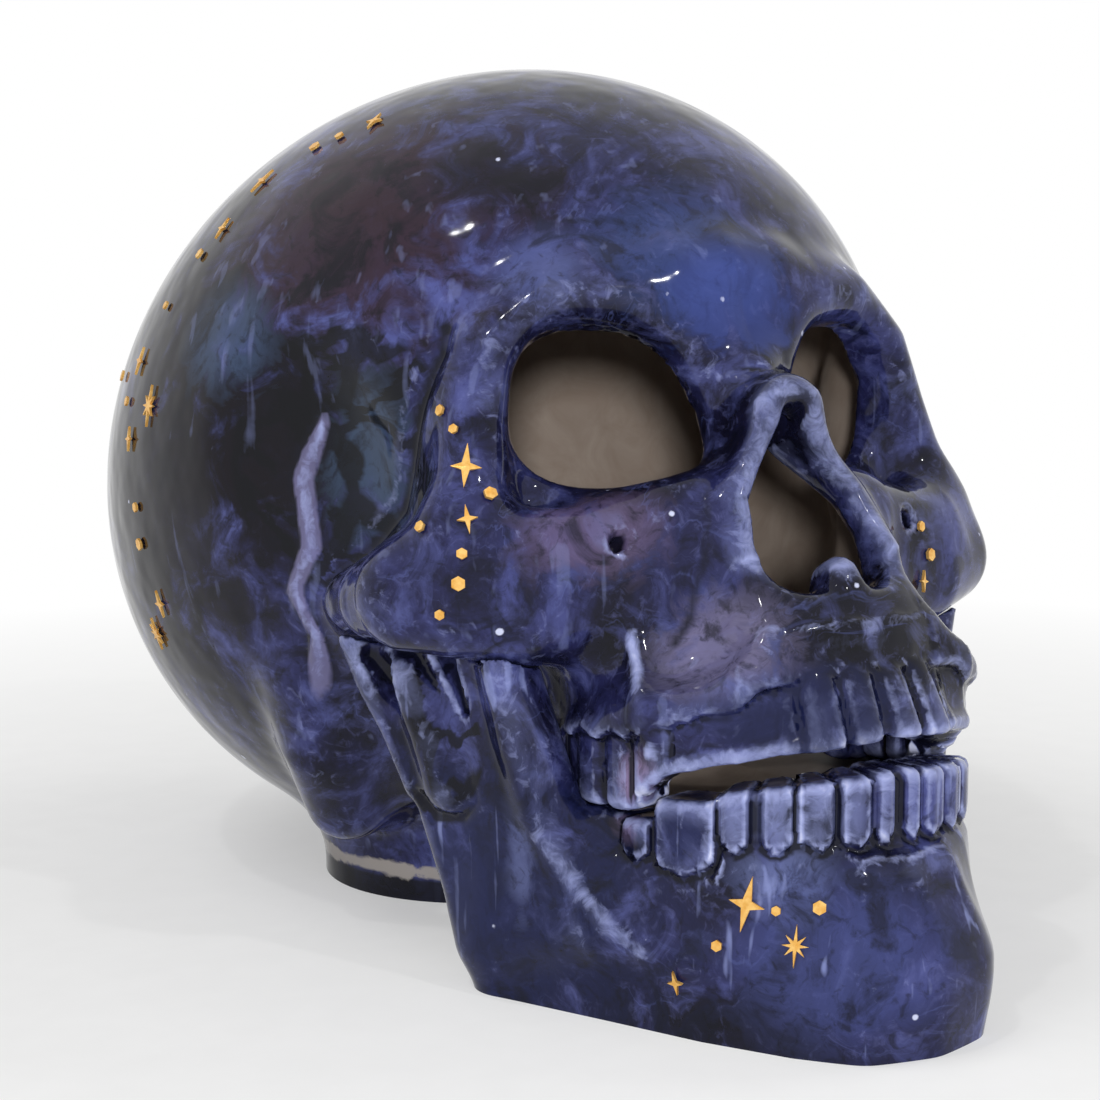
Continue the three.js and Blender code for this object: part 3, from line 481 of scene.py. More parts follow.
# The forms are turned into meshes by a net with one point in each cell that the surface crosses
batch = 1 << 16
grid_room = 6
block_cells = 4
block_reach = 1.4
least_slope = 0.5
settling_rounds = 3
crease_reach = 1.1
swell_reach = 3.5


def levels_at(form, points):
    """Levels of a form at many points: below 0 inside it, above 0 outside."""
    parts = [form(probe(points[i:i + batch])) for i in range(0, len(points), batch)]
    return np.concatenate(parts)


def grid_lines(low, high, cell, through=0.0):
    """Lines of a grid with some room at both ends, one of which lies exactly at the value of through."""
    first = math.floor((low - grid_room - through) / cell)
    last = math.ceil((high + grid_room - through) / cell)
    return through + np.arange(first, last + 1) * cell


def grid_levels(form, lines):
    """Levels on a grid. Blocks of cells that the surface can't reach only get the right side."""
    cell = lines[0][1] - lines[0][0]
    starts = [np.arange(0, len(line) - 1, block_cells) for line in lines]
    middles = [
        line[np.minimum(start + block_cells // 2, len(line) - 1)] for line, start in zip(lines, starts)
    ]
    centres = np.stack(np.meshgrid(*middles, indexing="ij"), -1).reshape(-1, 3)
    levels = levels_at(form, centres).reshape([len(start) for start in starts])
    owner = np.ix_(*[np.minimum(np.arange(len(line)) // block_cells, len(start) - 1)
                     for line, start in zip(lines, starts)])
    grid = (np.sign(levels) * cell)[owner]
    close = np.abs(levels) < block_cells * cell * block_reach
    reached = close[owner]
    for axis in range(3):
        edge = [slice(None)] * 3
        edge[axis] = slice(block_cells, None, block_cells)
        before = np.roll(reached, 1, axis)
        reached[tuple(edge)] |= before[tuple(edge)]
    at = np.argwhere(reached)
    spots = np.stack([line[at[:, axis]] for axis, line in enumerate(lines)], 1)
    grid[tuple(at.T)] = levels_at(form, spots)
    return grid


def slope_at(form, points, step):
    """How fast a form's level rises along each axis."""
    columns = []
    for axis in range(3):
        ahead, behind = points.copy(), points.copy()
        ahead[:, axis] += step
        behind[:, axis] -= step
        columns.append((levels_at(form, ahead) - levels_at(form, behind)) / (2 * step))
    return np.stack(columns, 1)


def net(level, lines):
    """Points and four-cornered faces where the level changes sign, with each point's cell and the number
    of crossings in it along each axis."""
    counts = [len(line) - 1 for line in lines]
    rings, spots, axes = [], [], []
    for axis in range(3):
        low = [slice(None)] * 3
        high = [slice(None)] * 3
        low[axis] = slice(0, -1)
        high[axis] = slice(1, None)
        a, b = level[tuple(low)], level[tuple(high)]
        crossed = (a < 0) != (b < 0)
        at = np.argwhere(crossed)
        t = a[crossed] / (a[crossed] - b[crossed])
        spot = np.stack([lines[k][at[:, k]] for k in range(3)], 1)
        spot[:, axis] += t * (lines[axis][at[:, axis] + 1] - lines[axis][at[:, axis]])
        ring = []
        for du, dv in ((0, 0), (1, 0), (1, 1), (0, 1)):
            cell = at.copy()
            cell[:, (axis + 1) % 3] -= du
            cell[:, (axis + 2) % 3] -= dv
            ring.append(np.ravel_multi_index(cell.T, counts))
        ring = np.stack(ring, 1)
        inward = a[crossed] >= 0
        ring[inward] = ring[inward][:, ::-1]
        rings.append(ring)
        spots.append(np.repeat(spot, 4, axis=0))
        axes.append(np.full(len(spot) * 4, axis))
    used, slot = np.unique(np.concatenate(rings).ravel(), return_inverse=True)
    slot = slot.ravel()
    spots = np.concatenate(spots)
    axes = np.concatenate(axes)
    total = np.bincount(slot)
    points = np.stack([np.bincount(slot, weights=spots[:, k]) / total for k in range(3)], 1)
    crossings = np.stack([np.bincount(slot, weights=axes == k) for k in range(3)], 1)
    return points, slot.reshape(-1, 4), np.stack(np.unravel_index(used, counts), 1), crossings


def bend_at(form, points, reach):
    """How much a form bends outwards, from the levels all round a point."""
    total = -6 * levels_at(form, points)
    for axis in range(3):
        for way in (-reach, reach):
            beside = points.copy()
            beside[:, axis] += way
            total += levels_at(form, beside)
    return total / reach


def keep_number(mesh, name, values):
    """Stores a number at each point, for the material to read."""
    layer = mesh.attributes.new(name, "FLOAT", "POINT")
    layer.data.foreach_set("value", values.astype(np.float32))


def cast(name, form, outer, marks, node, cell, cuts):
    """A closed mesh of a form within a node's box, cut flat at planes given as axis, place and side kept.
    Each point keeps how convex the outside is there, and the level of each of the marks."""
    low, high = ([v / millimetre for v in corner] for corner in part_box(node))
    through = [0.0, 0.0, 0.0]
    for axis, place, _ in cuts:
        through[axis] = place
    lines = [grid_lines(low[k], high[k], cell, through[k]) for k in range(3)]
    level = grid_levels(form, lines)
    for axis, place, side in cuts:
        past = (lines[axis] - place) * side < -cell / 2
        level[tuple(past if k == axis else slice(None) for k in range(3))] = cell
    points, faces, cells, crossings = net(level, lines)

    # Points on a cut lie on its plane, and where nothing but the cut runs through their cell they stay
    free = np.ones_like(points)
    for axis, place, side in cuts:
        edge_cell = np.argmin(np.abs(lines[axis] - place)) - (1 if side > 0 else 0)
        on_cut = cells[:, axis] == edge_cell
        points[on_cut, axis] = place
        free[on_cut, axis] = 0
        inner = on_cut & (crossings.sum(1) == crossings[:, axis])
        free[inner] = 0

    # The other points slide along the slope onto the surface
    step = cell / 8
    slope = slope_at(form, points, step) * free
    for _ in range(settling_rounds):
        size = np.maximum((slope ** 2).sum(1), least_slope ** 2)
        move = np.clip(levels_at(form, points) / size, -cell, cell)
        points -= move[:, None] * slope
    normals = slope_at(form, points, step)
    normals /= np.maximum(np.linalg.norm(normals, axis=1), tiny)[:, None]
    mesh = bpy.data.meshes.new(name)
    mesh.from_pydata((points * millimetre).tolist(), [], faces.tolist())
    mesh.polygons.foreach_set("use_smooth", [True] * len(mesh.polygons))
    mesh.normals_split_custom_set_from_vertices(normals.tolist())
    keep_number(mesh, "ridge", bend_at(outer, points, crease_reach))
    keep_number(mesh, "swell", bend_at(outer, points, swell_reach))
    for mark, levels in marks.items():
        keep_number(mesh, mark, levels_at(levels, points))
    piece = bpy.data.objects.new(name, mesh)
    bpy.context.scene.collection.objects.link(piece)
    return piece


head_marks = {"bare": head_bare, "luted": head_luted}
face_cell = 1.1
vault_cell = 1.7
vault = cast(
    "glazed_vault", head_shell, head_outer, head_marks, "vault_casting", vault_cell,
    [(1, seam, 1), (2, 0, 1)],
)
face = cast(
    "glazed_face", head_shell, head_outer, head_marks, "face_casting", face_cell, [(1, seam, -1)],
)

# Glaze of the head: a glossy dark stoneware glaze in layers, brushed on and fired
# It runs from plum black over the temple to cobalt on the brow, breaks to pale lavender on every ridge,
# which is partly painted highlight, pools black in the creases and is spattered with milky specks. A
# black band of painted shadow runs round the foot. The bare hollow is warm grey clay.

# Sizes of its patterns in mm, which become metre / size repeats in a metre
metre = 1000
swirl_size, cloud_size, grain_size = 42, 11, 3.4
brush_length, brush_width = 26, 1.8
crackle_size = 17
run_length, run_width = 40, 3
speck_spacing = 12
ripple_size, ripple_height = 8, 0.7
# The last pair gives the heights in mm where the black band of painted shadow round the foot starts and
# where it is full
strip_height, strip_rag, strip_edge, foot_shadow_edge = 6, 5, (4.3, 3.7), (5, 4)
glaze_gloss, clay_roughness = 0.08, 0.5
# Below a real glaze's 1.5, so that the white room doesn't veil the darks
glaze_ior = 1.3

base_shades = [(0.3, 0x08080f), (0.7, 0x40457a), (0.42, 0x121226), (0.55, 0x212348)]
clay_shades = [(0.3, 0x99897d), (0.7, 0xab9d92)]
indigo, violet, dusk = 0x4b5189, 0x686da4, 0x56609a
night, midnight, pool_black, crack_black = 0x090a15, 0x080912, 0x0b0c18, 0x07080e
# The mauve along the roll of clay over the joint is a painted reflection of a strip of light
run_blue, roll_reflection_mauve, swell_blue = 0x8791c4, 0x6d6a90, 0x8088ba
# The swell blue above and these lavenders are partly the glaze thinning on ridges and partly painted
# highlight
lavender, pale_lavender, milk_white = 0x8f97c4, 0xc9cde6, 0xc6cbe6
# Black for the band of painted shadow round the foot, and grey for the pale strip above it
foot_shadow_black, pale_foot_strip = 0x0b0b10, 0x97918c
# Sockets of the node that mixes two colours
factor, colour_a, colour_b, mixed = 0, 6, 7, 2


def srgb(code):
    """A hex colour as the linear values that the shader takes."""
    channels = [(code >> shift & 255) / 255 for shift in (16, 8, 0)]
    return (*[c / 12.92 if c <= 0.04045 else ((c + 0.055) / 1.055) ** 2.4 for c in channels], 1)


def add(tree, kind, sockets=None, stops=None, **settings):
    """Adds a node: its settings, its sockets' values or links, and a ramp's stops, both ends first."""
    made = tree.nodes.new(kind)
    for name, value in settings.items():
        setattr(made, name, value)
    for key, value in (sockets or {}).items():
        if isinstance(value, bpy.types.NodeSocket):
            tree.links.new(value, made.inputs[key])
        else:
            made.inputs[key].default_value = value
    for number, (position, shade) in enumerate(stops or []):
        stop = made.color_ramp.elements[number] if number < 2 else made.color_ramp.elements.new(position)
        stop.position = position
        stop.color = srgb(shade)
    return made


def blank_material(name):
    """A new material with an empty tree of nodes."""
    material = bpy.data.materials.new(name)
    material.use_nodes = True
    material.node_tree.nodes.clear()
    return material


def patch_layers(tree, place, cloud, patches):
    """Layers for ragged patches: each a colour, its middle and its reach along each axis in mm, and its
    share."""
    layers = []
    for colour, middle, reach, share in patches:
        local = add(tree, "ShaderNodeMapping", {
            "Vector": place, "Location": [v * millimetre for v in middle],
            "Scale": [v * millimetre for v in reach],
        }, vector_type="TEXTURE").outputs["Vector"]
        away = add(tree, "ShaderNodeVectorMath", {0: local}, operation="LENGTH").outputs["Value"]
        ragged = add(tree, "ShaderNodeMath", {0: cloud, 1: 2.2, 2: away},
                     operation="MULTIPLY_ADD").outputs["Value"]
        layers.append((ragged, 2.1, 1.6, share, colour))
    return layers


def glaze_material(name, patches, veils, cracked, drip_share, foot_shadow_and_strip_share):
    """Layered dark glaze: patches in it, veils over it, and one cracked place of a middle and a reach.
    A layer is what drives it, where it starts, where it is full, its share and its colour."""
    material = blank_material(name)
    tree = material.node_tree
    place = add(tree, "ShaderNodeTexCoord").outputs["Object"]
    height = add(tree, "ShaderNodeSeparateXYZ", {"Vector": place}).outputs["Z"]
    bend = add(tree, "ShaderNodeAttribute", attribute_name="ridge").outputs["Fac"]
    swell = add(tree, "ShaderNodeAttribute", attribute_name="swell").outputs["Fac"]
    bare = add(tree, "ShaderNodeAttribute", attribute_name="bare").outputs["Fac"]
    luted = add(tree, "ShaderNodeAttribute", attribute_name="luted").outputs["Fac"]
    swirl = add(tree, "ShaderNodeTexNoise", {
        "Vector": place, "Scale": metre / swirl_size, "Detail": 5, "Roughness": 0.55, "Distortion": 1.6,
    }).outputs["Fac"]
    cloud = add(tree, "ShaderNodeTexNoise", {
        "Vector": place, "Scale": metre / cloud_size, "Detail": 7, "Roughness": 0.62, "Distortion": 0.9,
    }).outputs["Fac"]
    grain = add(tree, "ShaderNodeTexNoise", {
        "Vector": place, "Scale": metre / grain_size, "Detail": 5, "Roughness": 0.62, "Distortion": 1.2,
    }).outputs["Fac"]
    shade = add(tree, "ShaderNodeValToRGB", {"Fac": swirl}, stops=base_shades).outputs["Color"]

    # Pale mottling, brush marks round the head, the patches, and dark mottling over them
    bent = add(tree, "ShaderNodeVectorMath", {0: swirl, 1: (0.02, 0.03, 0.04), 2: place},
               operation="MULTIPLY_ADD").outputs["Vector"]
    flat = add(tree, "ShaderNodeMapping", {
        "Vector": bent, "Scale": (metre / brush_length, metre / brush_length, metre / brush_width),
    }).outputs["Vector"]
    brushed = add(tree, "ShaderNodeTexNoise", {
        "Vector": flat, "Scale": 1, "Detail": 3, "Roughness": 0.6, "Distortion": 0.6,
    }).outputs["Fac"]
    layers = [
        (cloud, 0.52, 0.68, 0.55, indigo), (grain, 0.55, 0.75, 0.3, violet),
        (brushed, 0.6, 0.72, 0.25, dusk),
    ]
    layers += patch_layers(tree, place, cloud, patches)
    layers += [(cloud, 0.48, 0.36, 0.75, night), (grain, 0.46, 0.32, 0.6, midnight)]

    # Crack lines in the thick glaze, and runs that came down it
    middle, reach = cracked
    away = add(tree, "ShaderNodeVectorMath", {
        0: place, 1: [v * millimetre for v in middle],
    }, operation="DISTANCE").outputs["Value"]
    away = add(tree, "ShaderNodeMath", {0: away, 1: metre / reach, 2: -0.9},
               operation="MULTIPLY_ADD").outputs["Value"]
    edge = add(tree, "ShaderNodeTexVoronoi", {"Vector": bent, "Scale": metre / crackle_size},
               feature="DISTANCE_TO_EDGE").outputs["Distance"]
    crack = add(tree, "ShaderNodeMath", {0: edge, 1: away}, operation="MAXIMUM").outputs["Value"]
    layers.append((crack, 0.11, 0.06, 0.9, crack_black))
    tall = add(tree, "ShaderNodeMapping", {
        "Vector": place, "Scale": (metre / run_width, metre / run_width, metre / run_length),
    }).outputs["Vector"]
    runs = add(tree, "ShaderNodeTexNoise", {
        "Vector": tall, "Scale": 1, "Detail": 2, "Roughness": 0.5, "Distortion": 0.3,
    }).outputs["Fac"]
    runs = add(tree, "ShaderNodeMath", {0: swirl, 1: 0.6, 2: runs},
               operation="MULTIPLY_ADD").outputs["Value"]
    layers.append((runs, 0.96, 1.04, drip_share, run_blue))

    # The glaze thins to lavender on the ridges, partly painted highlight there, and pools black in the
    # creases, under milky specks
    worn_and_highlit = add(tree, "ShaderNodeMath", {0: grain, 1: 1.4, 2: bend},
               operation="MULTIPLY_ADD").outputs["Value"]
    raised = add(tree, "ShaderNodeMath", {0: cloud, 1: 2.0, 2: swell},
                 operation="MULTIPLY_ADD").outputs["Value"]
    drops = add(tree, "ShaderNodeTexVoronoi", {
        "Vector": place, "Scale": metre / speck_spacing,
    }).outputs["Distance"]
    drops = add(tree, "ShaderNodeMath", {0: cloud, 1: 0.25, 2: drops},
                operation="MULTIPLY_ADD").outputs["Value"]

    # Round the foot a black band is painted as shadow, with a ragged pale grey strip above it
    strip = add(tree, "ShaderNodeMath", {0: height, 1: strip_height * millimetre},
                operation="SUBTRACT").outputs["Value"]
    strip = add(tree, "ShaderNodeMath", {0: strip}, operation="ABSOLUTE").outputs["Value"]
    strip = add(tree, "ShaderNodeMath", {0: cloud, 1: strip_rag * millimetre, 2: strip},
                operation="MULTIPLY_ADD").outputs["Value"]
    layers += [
        # Along the roll of clay the mauve is a painted reflection of a strip of light
        # On ridges the swell blue and the lavenders are partly the glaze thinning and partly painted
        # highlight
        (luted, 0.4, 0.9, 0.65, roll_reflection_mauve), (raised, 1.5, 2.8, 0.38, swell_blue),
        (worn_and_highlit, 1.0, 1.7, 0.85, lavender), (worn_and_highlit, 1.7, 2.6, 0.85, pale_lavender),
        (bend, -0.12, -0.6, 0.92, pool_black), (drops, 0.17, 0.15, 0.85, milk_white),
        # Painted shadow: a black band round the foot, with the pale strip above it
        (height, foot_shadow_edge[0] * millimetre, foot_shadow_edge[1] * millimetre, foot_shadow_and_strip_share, foot_shadow_black),
        (strip, strip_edge[0] * millimetre, strip_edge[1] * millimetre, foot_shadow_and_strip_share, pale_foot_strip),
    ]
    layers += patch_layers(tree, place, cloud, veils)
    for value, start, full, share, colour in layers:
        mask = add(tree, "ShaderNodeMapRange", {
            "Value": value, "From Min": start, "From Max": full, "To Max": share,
        }).outputs["Result"]
        shade = add(tree, "ShaderNodeMix", {
            factor: mask, colour_a: shade, colour_b: srgb(colour),
        }, data_type="RGBA").outputs[mixed]

    # Past the glaze the clay is bare
    inside = add(tree, "ShaderNodeMapRange", {
        "Value": bare, "From Min": -0.2, "From Max": 0.3,
    }).outputs["Result"]
    clay = add(tree, "ShaderNodeValToRGB", {"Fac": cloud}, stops=clay_shades).outputs["Color"]
    shade = add(tree, "ShaderNodeMix", {
        factor: inside, colour_a: shade, colour_b: clay,
    }, data_type="RGBA").outputs[mixed]
    gloss = add(tree, "ShaderNodeMapRange", {
        "Value": inside, "To Min": glaze_gloss, "To Max": clay_roughness,
    }).outputs["Result"]
    ripple = add(tree, "ShaderNodeTexNoise", {
        "Vector": place, "Scale": metre / ripple_size, "Detail": 1, "Roughness": 0.4,
    }).outputs["Fac"]
    bump = add(tree, "ShaderNodeBump", {
        "Height": ripple, "Strength": 0.5, "Distance": ripple_height * millimetre,
    }).outputs["Normal"]
    surface = add(tree, "ShaderNodeBsdfPrincipled", {
        "Base Color": shade, "Roughness": gloss, "IOR": glaze_ior, "Normal": bump,
    }).outputs["BSDF"]
    add(tree, "ShaderNodeOutputMaterial", {"Surface": surface})
    return material


# Plum and black over the vault, slate at the temple, cobalt on the forehead, mauve on the cheek
head_patches = [
    (0x2a1a25, (-53, -15, 135), (40, 40, 34), 0.9),
    (0x07060b, (-66, -12, 98), (30, 30, 24), 0.92),
    (0x0e0a12, (-78, 20, 90), (50, 50, 50), 0.9),
    (0x3a4c6b, (-72, -2, 113), (14, 14, 12), 0.6),
    (0x0c0d1d, (-36, -32, 143), (14, 16, 12), 0.75),
    (0x4d5790, (-35, -51, 126), (11, 11, 8), 0.6),
    (0x33437a, (-8, -60, 128), (22, 22, 16), 0.6),
    (0x33435c, (-56, -28, 92), (12, 14, 18), 0.85),
    (0x5f5273, (-36, -70, 82), (15, 14, 10), 0.6),
    (0x6f6a8c, (-22, -86, 63), (15, 13, 11), 0.7),
    (0x857398, (-34, -80, 41), (5, 5, 7), 0.7),
]
# Navy run over the upper gum, and cobalt over the root of the nose
head_veils = [
    (0x161b3c, (-14, -98, 54), (26, 16, 8), 0.8),
    (0x3a4a94, (-2, -62, 119), (16, 14, 11), 0.4),
]
head_cracked = ((-60, -26, 92), 24)
# On the head the foot gets the black band of painted shadow and the pale strip; the jaw gets neither
head_glaze = glaze_material(
    "night_sky_glaze", head_patches, head_veils, head_cracked, drip_share=0.15, foot_shadow_and_strip_share=0.9,
)
for piece, node in ((vault, "vault_casting"), (face, "face_casting")):
    piece.data.materials.append(head_glaze)
    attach(piece, "root")
    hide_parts(node)

# Lower jaw
# A third casting of the same clay: a horseshoe with a chin, whose two uprights are luted up behind the
# cheekbones, with its teeth in relief. It rests on the table.
lower_row = [
    (0, 100.5), (8, 99.2), (14, 96.8), (19, 92.8), (23.3, 87.5), (26.5, 81.3), (28.2, 75), (28.5, 68),
]
lower_joints = [0, 4.3, 9.7, 15.2, 21.2, 26.8, 37, 43, 50]
lower_bite = ([0, 15, 22, 27, 28, 36, 38, 50], [44.6, 43, 42, 41, 39.5, 39, 35, 34.5])
lower_gum = ([0, 15, 26, 28, 36, 38, 50], [32.3, 31.6, 31, 26.5, 26, 27.5, 27])
lower_gum_half, lower_core_half, lower_crown_half = 5, 3.6, 4.9
lower_row_foot = 12
jaw_row = [(0, 107.5), (8.5, 105.5), (14.5, 99), (22, 86.5), (29.5, 70.5), (37, 55), (39.5, 50)]
jaw_half, jaw_top, jaw_edge = 7, 31, 4.5
jaw_lean, lean_from = 0.32, 13
chin = ((0, 103, 11), (17, 11, 13))
upright_centre = (44.5, 38, -36.2)
upright_halves = (5, 17, 29.6)
upright_turns = (14, -12.6, -9)
upright_edge = [(58.5, 29, -4, 3.2), (57, 28.5, -12, 3.2), (54.5, 28.5, -21, 3.2), (52, 27, -31, 3)]
upright_bar = [(49, 58.5, -17, 3.6), (46.5, 54.5, -26, 3.6), (44.5, 51.5, -34, 3.6), (42.5, 48.5, -44, 3)]
muscle_bulge = [(54, 37, -15, 4), (51, 36, -25, 5), (49.5, 33.5, -34, 4.5)]
muscle_outline = [
    (57, 36, -9), (54.2, 41.3, -12.4), (50.2, 42, -22.1), (48.7, 40, -30.8), (48.2, 39, -35),
    (47.3, 38, -39), (48.8, 34, -39.8), (51.4, 28.5, -37.7), (53.1, 27.5, -32.6),
]
jaw_notch = [(49.5, 45.3, -24.5, 0.7), (51.5, 46.5, -9, 3.6)]
jaw_pocket = [(58, 32, -9, 1.6), (55.8, 34, -15, 2.8), (54.6, 34, -19, 1.6)]
slant_ridge = [(43.9, 48.5, -49.2), (40.6, 49.9, -57), (36.9, 50.6, -65.4), (33.8, 52.7, -70.6)]
# Ridges with their fillets, and lines with their width and depth
jaw_ridges = [(upright_edge, 2.5), (upright_bar, 3), (muscle_bulge, 3)]
jaw_lines = [(muscle_outline, 1.4, 0.8), (slant_ridge, 2.2, -0.7)]


def block(q, halves, rounding):
    """Distance to a box with rounded edges."""
    over = [np.abs(v) - half + rounding for v, half in zip(q, halves)]
    outside = np.sqrt(sum(np.maximum(v, 0) ** 2 for v in over))
    return outside + np.minimum(np.maximum(np.maximum(over[0], over[1]), over[2]), 0) - rounding


def upright_frame(p):
    """A point as read from the middle of the upright: through it, forward along it and up it."""
    a, f = spin(p.x - upright_centre[0], p.f - upright_centre[1], upright_turns[0])
    b, z = spin(a, p.z - upright_centre[2], upright_turns[1])
    c, d = spin(f, z, upright_turns[2])
    return b, c, d


def lower_teeth(form, p):
    """A gum band that the crowns stand out of, each with a round foot."""
    gap, run = along_plan(p.x, p.g, lower_row)
    to_joint, middle = tooth_share(run, lower_joints)
    bite = np.interp(run, *lower_bite).astype(run.dtype)
    gum = np.interp(run, *lower_gum).astype(run.dtype)
    body = wall_on(gap, lower_gum_half, p.h, lower_row_foot, gum + 0.5, 3)
    form = join(form, body, 6)
    core = wall_on(gap, lower_core_half, p.h, lower_row_foot, bite - 0.6, 1.5)
    form = join(form, core, 1.5)
    foot = gum + 3.2 * (1 - np.sqrt(np.clip(middle, 0, 1)))
    crowns = wall_on(gap - 0.5 * middle, lower_crown_half, p.h, foot, bite, 1.7)
    crowns = carve(crowns, to_joint - 0.35, 1)
    return join(form, crowns, 0.7)


# Floor of the mouth, a bare sheet between the two sides of the jaw, with a bowed front edge
floor_half_width = 42
floor_back = 39
floor_reach = 61
floor_level = 29.6
floor_bow = 1.4


def floor_sheet(p):
    """The sheet as a form, a wall thick."""
    ahead = np.maximum(p.g - floor_back, 0) / floor_reach
    bow = ((p.x / floor_half_width) ** floor_bow + ahead ** floor_bow) ** (1 / floor_bow)
    plan = np.maximum((bow - 1) * floor_half_width, floor_back - p.g)
    return carve(plan, wall / 2 - np.abs(p.h - floor_level), 3)


def jaw_form(p):
    """Outside of the jaw, before it is cut back from the head."""
    gap, run = along_plan(p.x, p.g, jaw_row)
    lean = jaw_lean * np.maximum(p.h - lean_from, 0)
    top = jaw_top - 3 * fade(run, 30, 60)
    form = wall_on(gap + lean, jaw_half, p.h, -jaw_half, top, jaw_edge)
    form = join(form, egg(p.x, p.g, p.h, *chin), 8)
    form = lower_teeth(form, p)
    form = join(form, floor_sheet(p), 3)
    plate = block(upright_frame(p), upright_halves, jaw_edge)
    form = join(form, plate, 8)
    for knots, fillet in jaw_ridges:
        form = join(form, ridge(p, knots), fillet)
    for places, width, depth in jaw_lines:
        form = scored(form, p, places, width, depth)
    form = carve(form, ridge(p, jaw_notch), 1.6)
    return carve(form, ridge(p, jaw_pocket), 1.6)


luting_gap = 0.25


def jaw_shell(p):
    """The jaw, cut back from the head by a hair where the two are luted."""
    return np.maximum(jaw_form(p), luting_gap - head_outer(p))


def jaw_bare(p):
    """The glaze stops at the edge of the sheet in the floor of the mouth."""
    return 1 - floor_sheet(p)


jaw = cast(
    "glazed_jaw", jaw_shell, jaw_form, {"bare": jaw_bare}, "mandible_casting", face_cell, [(2, 0, 1)],
)

# The same glaze on the jaw, even navy with pale runs: lighter at the lower gum, dusty pink at the molars,
# and a painted highlight up the upright
jaw_patches = [
    (0x171d42, (-42, -50, 18), (40, 44, 34), 0.8),
    # The thin pale streak up the upright is a painted highlight
    (0x7d87bf, (-44, -61, 26), (4, 4, 13), 0.3),
    (0x6f7aae, (-20, -100, 28), (9, 9, 8), 0.4),
    (0x3a4276, (-14, -106, 16), (22, 20, 16), 0.6),
    (0x646b94, (-18, -98, 38), (22, 16, 6), 0.6),
    (0x1a2046, (-30, -86, 33), (7, 7, 8), 0.85),
    (0x857398, (-34, -76, 36), (4, 4, 5), 0.7),
]
jaw_veils = [(0x161c3e, (-48, -49, 19), (13, 15, 17), 0.55)]
jaw_cracked = ((-46, -40, 45), 16)
jaw_glaze = glaze_material(
    "jaw_glaze", jaw_patches, jaw_veils, jaw_cracked, drip_share=0.5, foot_shadow_and_strip_share=0.0,
)
jaw.data.materials.append(jaw_glaze)
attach(jaw, "root")
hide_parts("mandible_casting")

# Stars and dots of gold lustre
# Raised dabs of gold lustre, brushed over the fired glaze and fired again, so that they keep the marks
# of the brush and look like bright, slightly worn metal.
brush_mark, brush_mark_height = 1.5, 0.2


def lustre_material():
    """Gold lustre, a film half metal and half gloss, with the brush's strokes in its colour and sheen."""
    material = blank_material("gold_lustre")
    tree = material.node_tree
    place = add(tree, "ShaderNodeTexCoord").outputs["Object"]
    stroke = add(tree, "ShaderNodeTexNoise", {
        "Vector": place, "Scale": metre / brush_mark, "Detail": 4, "Roughness": 0.6,
    }).outputs["Fac"]
    shade = add(tree, "ShaderNodeValToRGB", {"Fac": stroke}, stops=[
        (0.3, 0xd99a3c), (0.7, 0xf3c878),
    ]).outputs["Color"]
    rough = add(tree, "ShaderNodeMapRange", {
        "Value": stroke, "To Min": 0.25, "To Max": 0.5,
    }).outputs["Result"]
    bump = add(tree, "ShaderNodeBump", {
        "Height": stroke, "Strength": 0.4, "Distance": brush_mark_height * millimetre,
    }).outputs["Normal"]
    surface = add(tree, "ShaderNodeBsdfPrincipled", {
        "Base Color": shade, "Metallic": 0.6, "Roughness": rough, "Normal": bump,
    }).outputs["BSDF"]
    add(tree, "ShaderNodeOutputMaterial", {"Surface": surface})
    return material


gold = lustre_material()
for name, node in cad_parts.items():
    if "star" in name or "dot" in name:
        node.material_slots[0].material = gold

# Table, backdrop and lamps
# A plain white table in a white room. A small lamp behind the camera shines into the eyes and lights
# the bare hollow, two small ones give the glaze its sharp lights, and two broad ones fill the crown and
# the far side.
table_size = 3.0
room_light = 0.38
card_grain = 3
shadow_from, shadow_to = 130, 420
shadow_glow = 0.35


def seen_rays(tree):
    """1 for rays from the camera, from a reflection and through glass, which all show a white room."""
    rays = add(tree, "ShaderNodeLightPath").outputs
    seen = add(tree, "ShaderNodeMath", {
        0: rays["Is Camera Ray"], 1: rays["Is Glossy Ray"],
    }, operation="MAXIMUM").outputs["Value"]
    return add(tree, "ShaderNodeMath", {
        0: seen, 1: rays["Is Transmission Ray"],
    }, operation="MAXIMUM").outputs["Value"]


def white_surface():
    """Matt white card, which keeps the shadow of the skull near it and is plain white farther out."""
    material = blank_material("white_card")
    tree = material.node_tree
    grain = add(tree, "ShaderNodeTexNoise", {"Scale": metre / card_grain, "Detail": 2}).outputs["Fac"]
    tone = add(tree, "ShaderNodeValToRGB", {"Fac": grain}, stops=[
        (0.3, 0xf3f3f2), (0.7, 0xf6f6f5),
    ]).outputs["Color"]
    card = add(tree, "ShaderNodeBsdfDiffuse", {"Color": tone}).outputs["BSDF"]
    place = add(tree, "ShaderNodeTexCoord").outputs["Object"]
    away = add(tree, "ShaderNodeVectorMath", {0: place}, operation="LENGTH").outputs["Value"]
    lit = add(tree, "ShaderNodeMapRange", {
        "Value": away, "From Min": shadow_from * millimetre, "From Max": shadow_to * millimetre,
        "To Min": shadow_glow,
    }).outputs["Result"]
    seen = add(tree, "ShaderNodeMath", {0: seen_rays(tree), 1: lit},
               operation="MULTIPLY").outputs["Value"]
    glow = add(tree, "ShaderNodeEmission", {"Strength": 1.0}).outputs["Emission"]
    surface = add(tree, "ShaderNodeMixShader", {0: seen, 1: card, 2: glow}).outputs["Shader"]
    add(tree, "ShaderNodeOutputMaterial", {"Surface": surface})
    return material


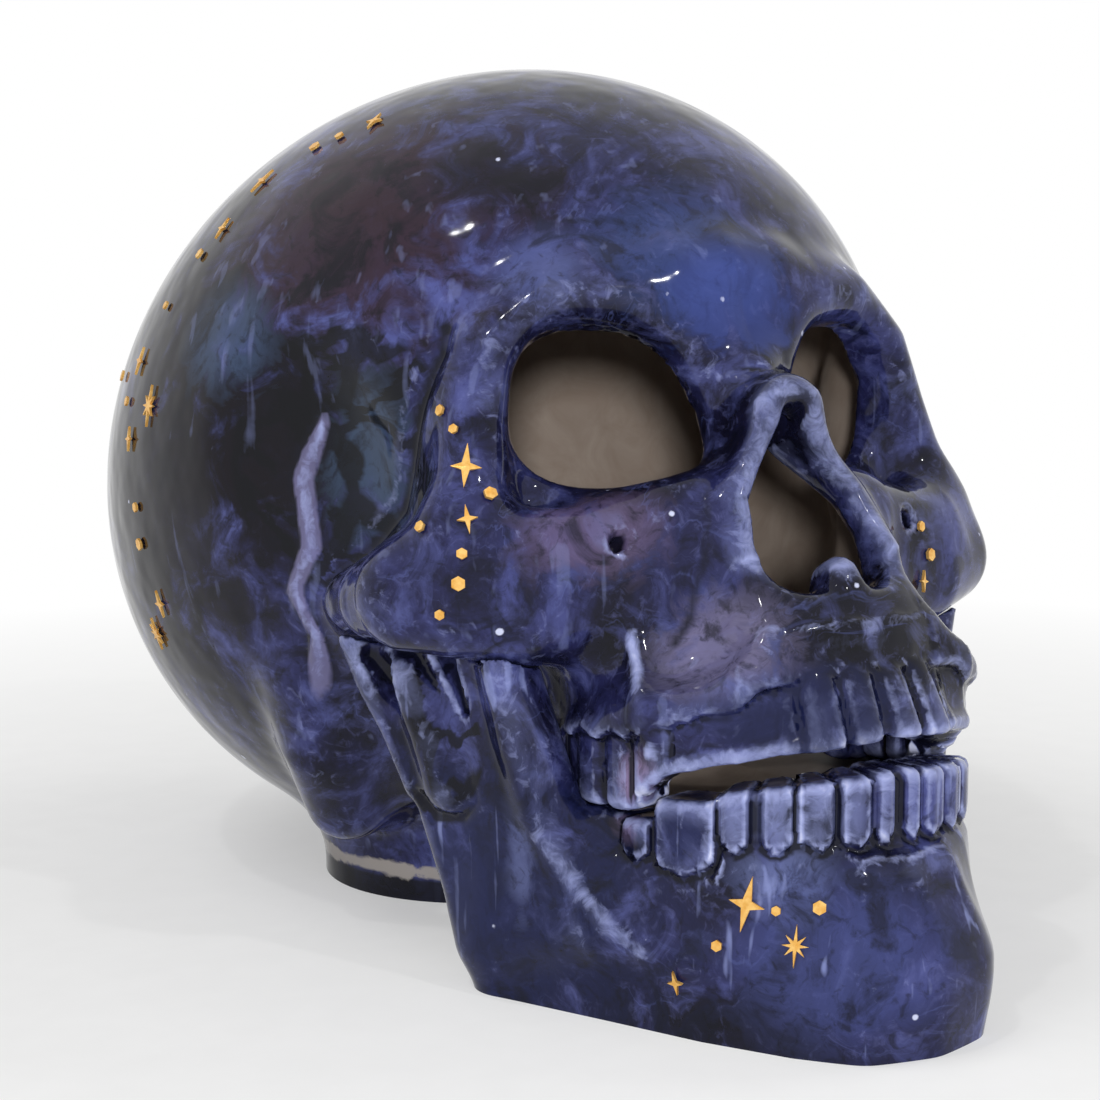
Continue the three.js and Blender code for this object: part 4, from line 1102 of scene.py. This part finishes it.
def make_table():
    """A flat white table top, with nothing else on it."""
    mesh = bpy.data.meshes.new("table")
    half = table_size / 2
    corners = [(-half, -half, 0), (half, -half, 0), (half, half, 0), (-half, half, 0)]
    mesh.from_pydata(corners, [], [(0, 1, 2, 3)])
    table = bpy.data.objects.new("table", mesh)
    bpy.context.scene.collection.objects.link(table)
    mesh.materials.append(white_surface())


skull_middle = Vector((0, 0, 85))
# Name, heading and rise in degrees, distance and width in mm, power in watts, and if the glaze mirrors it
lamps = [
    ("front_lamp", -31.5, 7, 900, 70, 5, False),
    ("high_lamp", -75, 62, 1100, 45, 0.8, True),
    ("low_lamp", 12, 40, 1100, 40, 1.2, True),
    ("top_lamp", -100, 60, 1100, 600, 3, False),
    ("side_lamp", 75, 30, 1200, 500, 2, False),
]


def make_lamp(name, heading, rise, distance, width, power, mirrored):
    """A round lamp that points at the middle of the skull."""
    lamp = bpy.data.lights.new(name, "AREA")
    lamp.shape = "DISK"
    lamp.size = width * millimetre
    lamp.energy = power
    holder = bpy.data.objects.new(name, lamp)
    holder.visible_glossy = mirrored
    bpy.context.scene.collection.objects.link(holder)
    heading, rise = math.radians(heading), math.radians(rise)
    aim = Vector((
        math.sin(heading) * math.cos(rise), -math.cos(heading) * math.cos(rise), math.sin(rise),
    ))
    holder.location = (skull_middle + aim * distance) * millimetre
    holder.rotation_mode = "QUATERNION"
    holder.rotation_quaternion = aim.to_track_quat("Z", "Y")


def make_sky():
    """A white room that lights the skull weakly and evenly."""
    world = bpy.data.worlds.new("studio")
    world.use_nodes = True
    tree = world.node_tree
    tree.nodes.clear()
    strength = add(tree, "ShaderNodeMath", {0: seen_rays(tree), 1: room_light},
                   operation="MAXIMUM").outputs["Value"]
    white = add(tree, "ShaderNodeBackground", {
        "Color": (1, 1, 1, 1), "Strength": strength,
    }).outputs["Background"]
    add(tree, "ShaderNodeOutputWorld", {"Surface": white})
    bpy.context.scene.world = world


make_table()
for lamp in lamps:
    make_lamp(*lamp)
make_sky()
bpy.context.scene.view_settings.view_transform = "Standard"
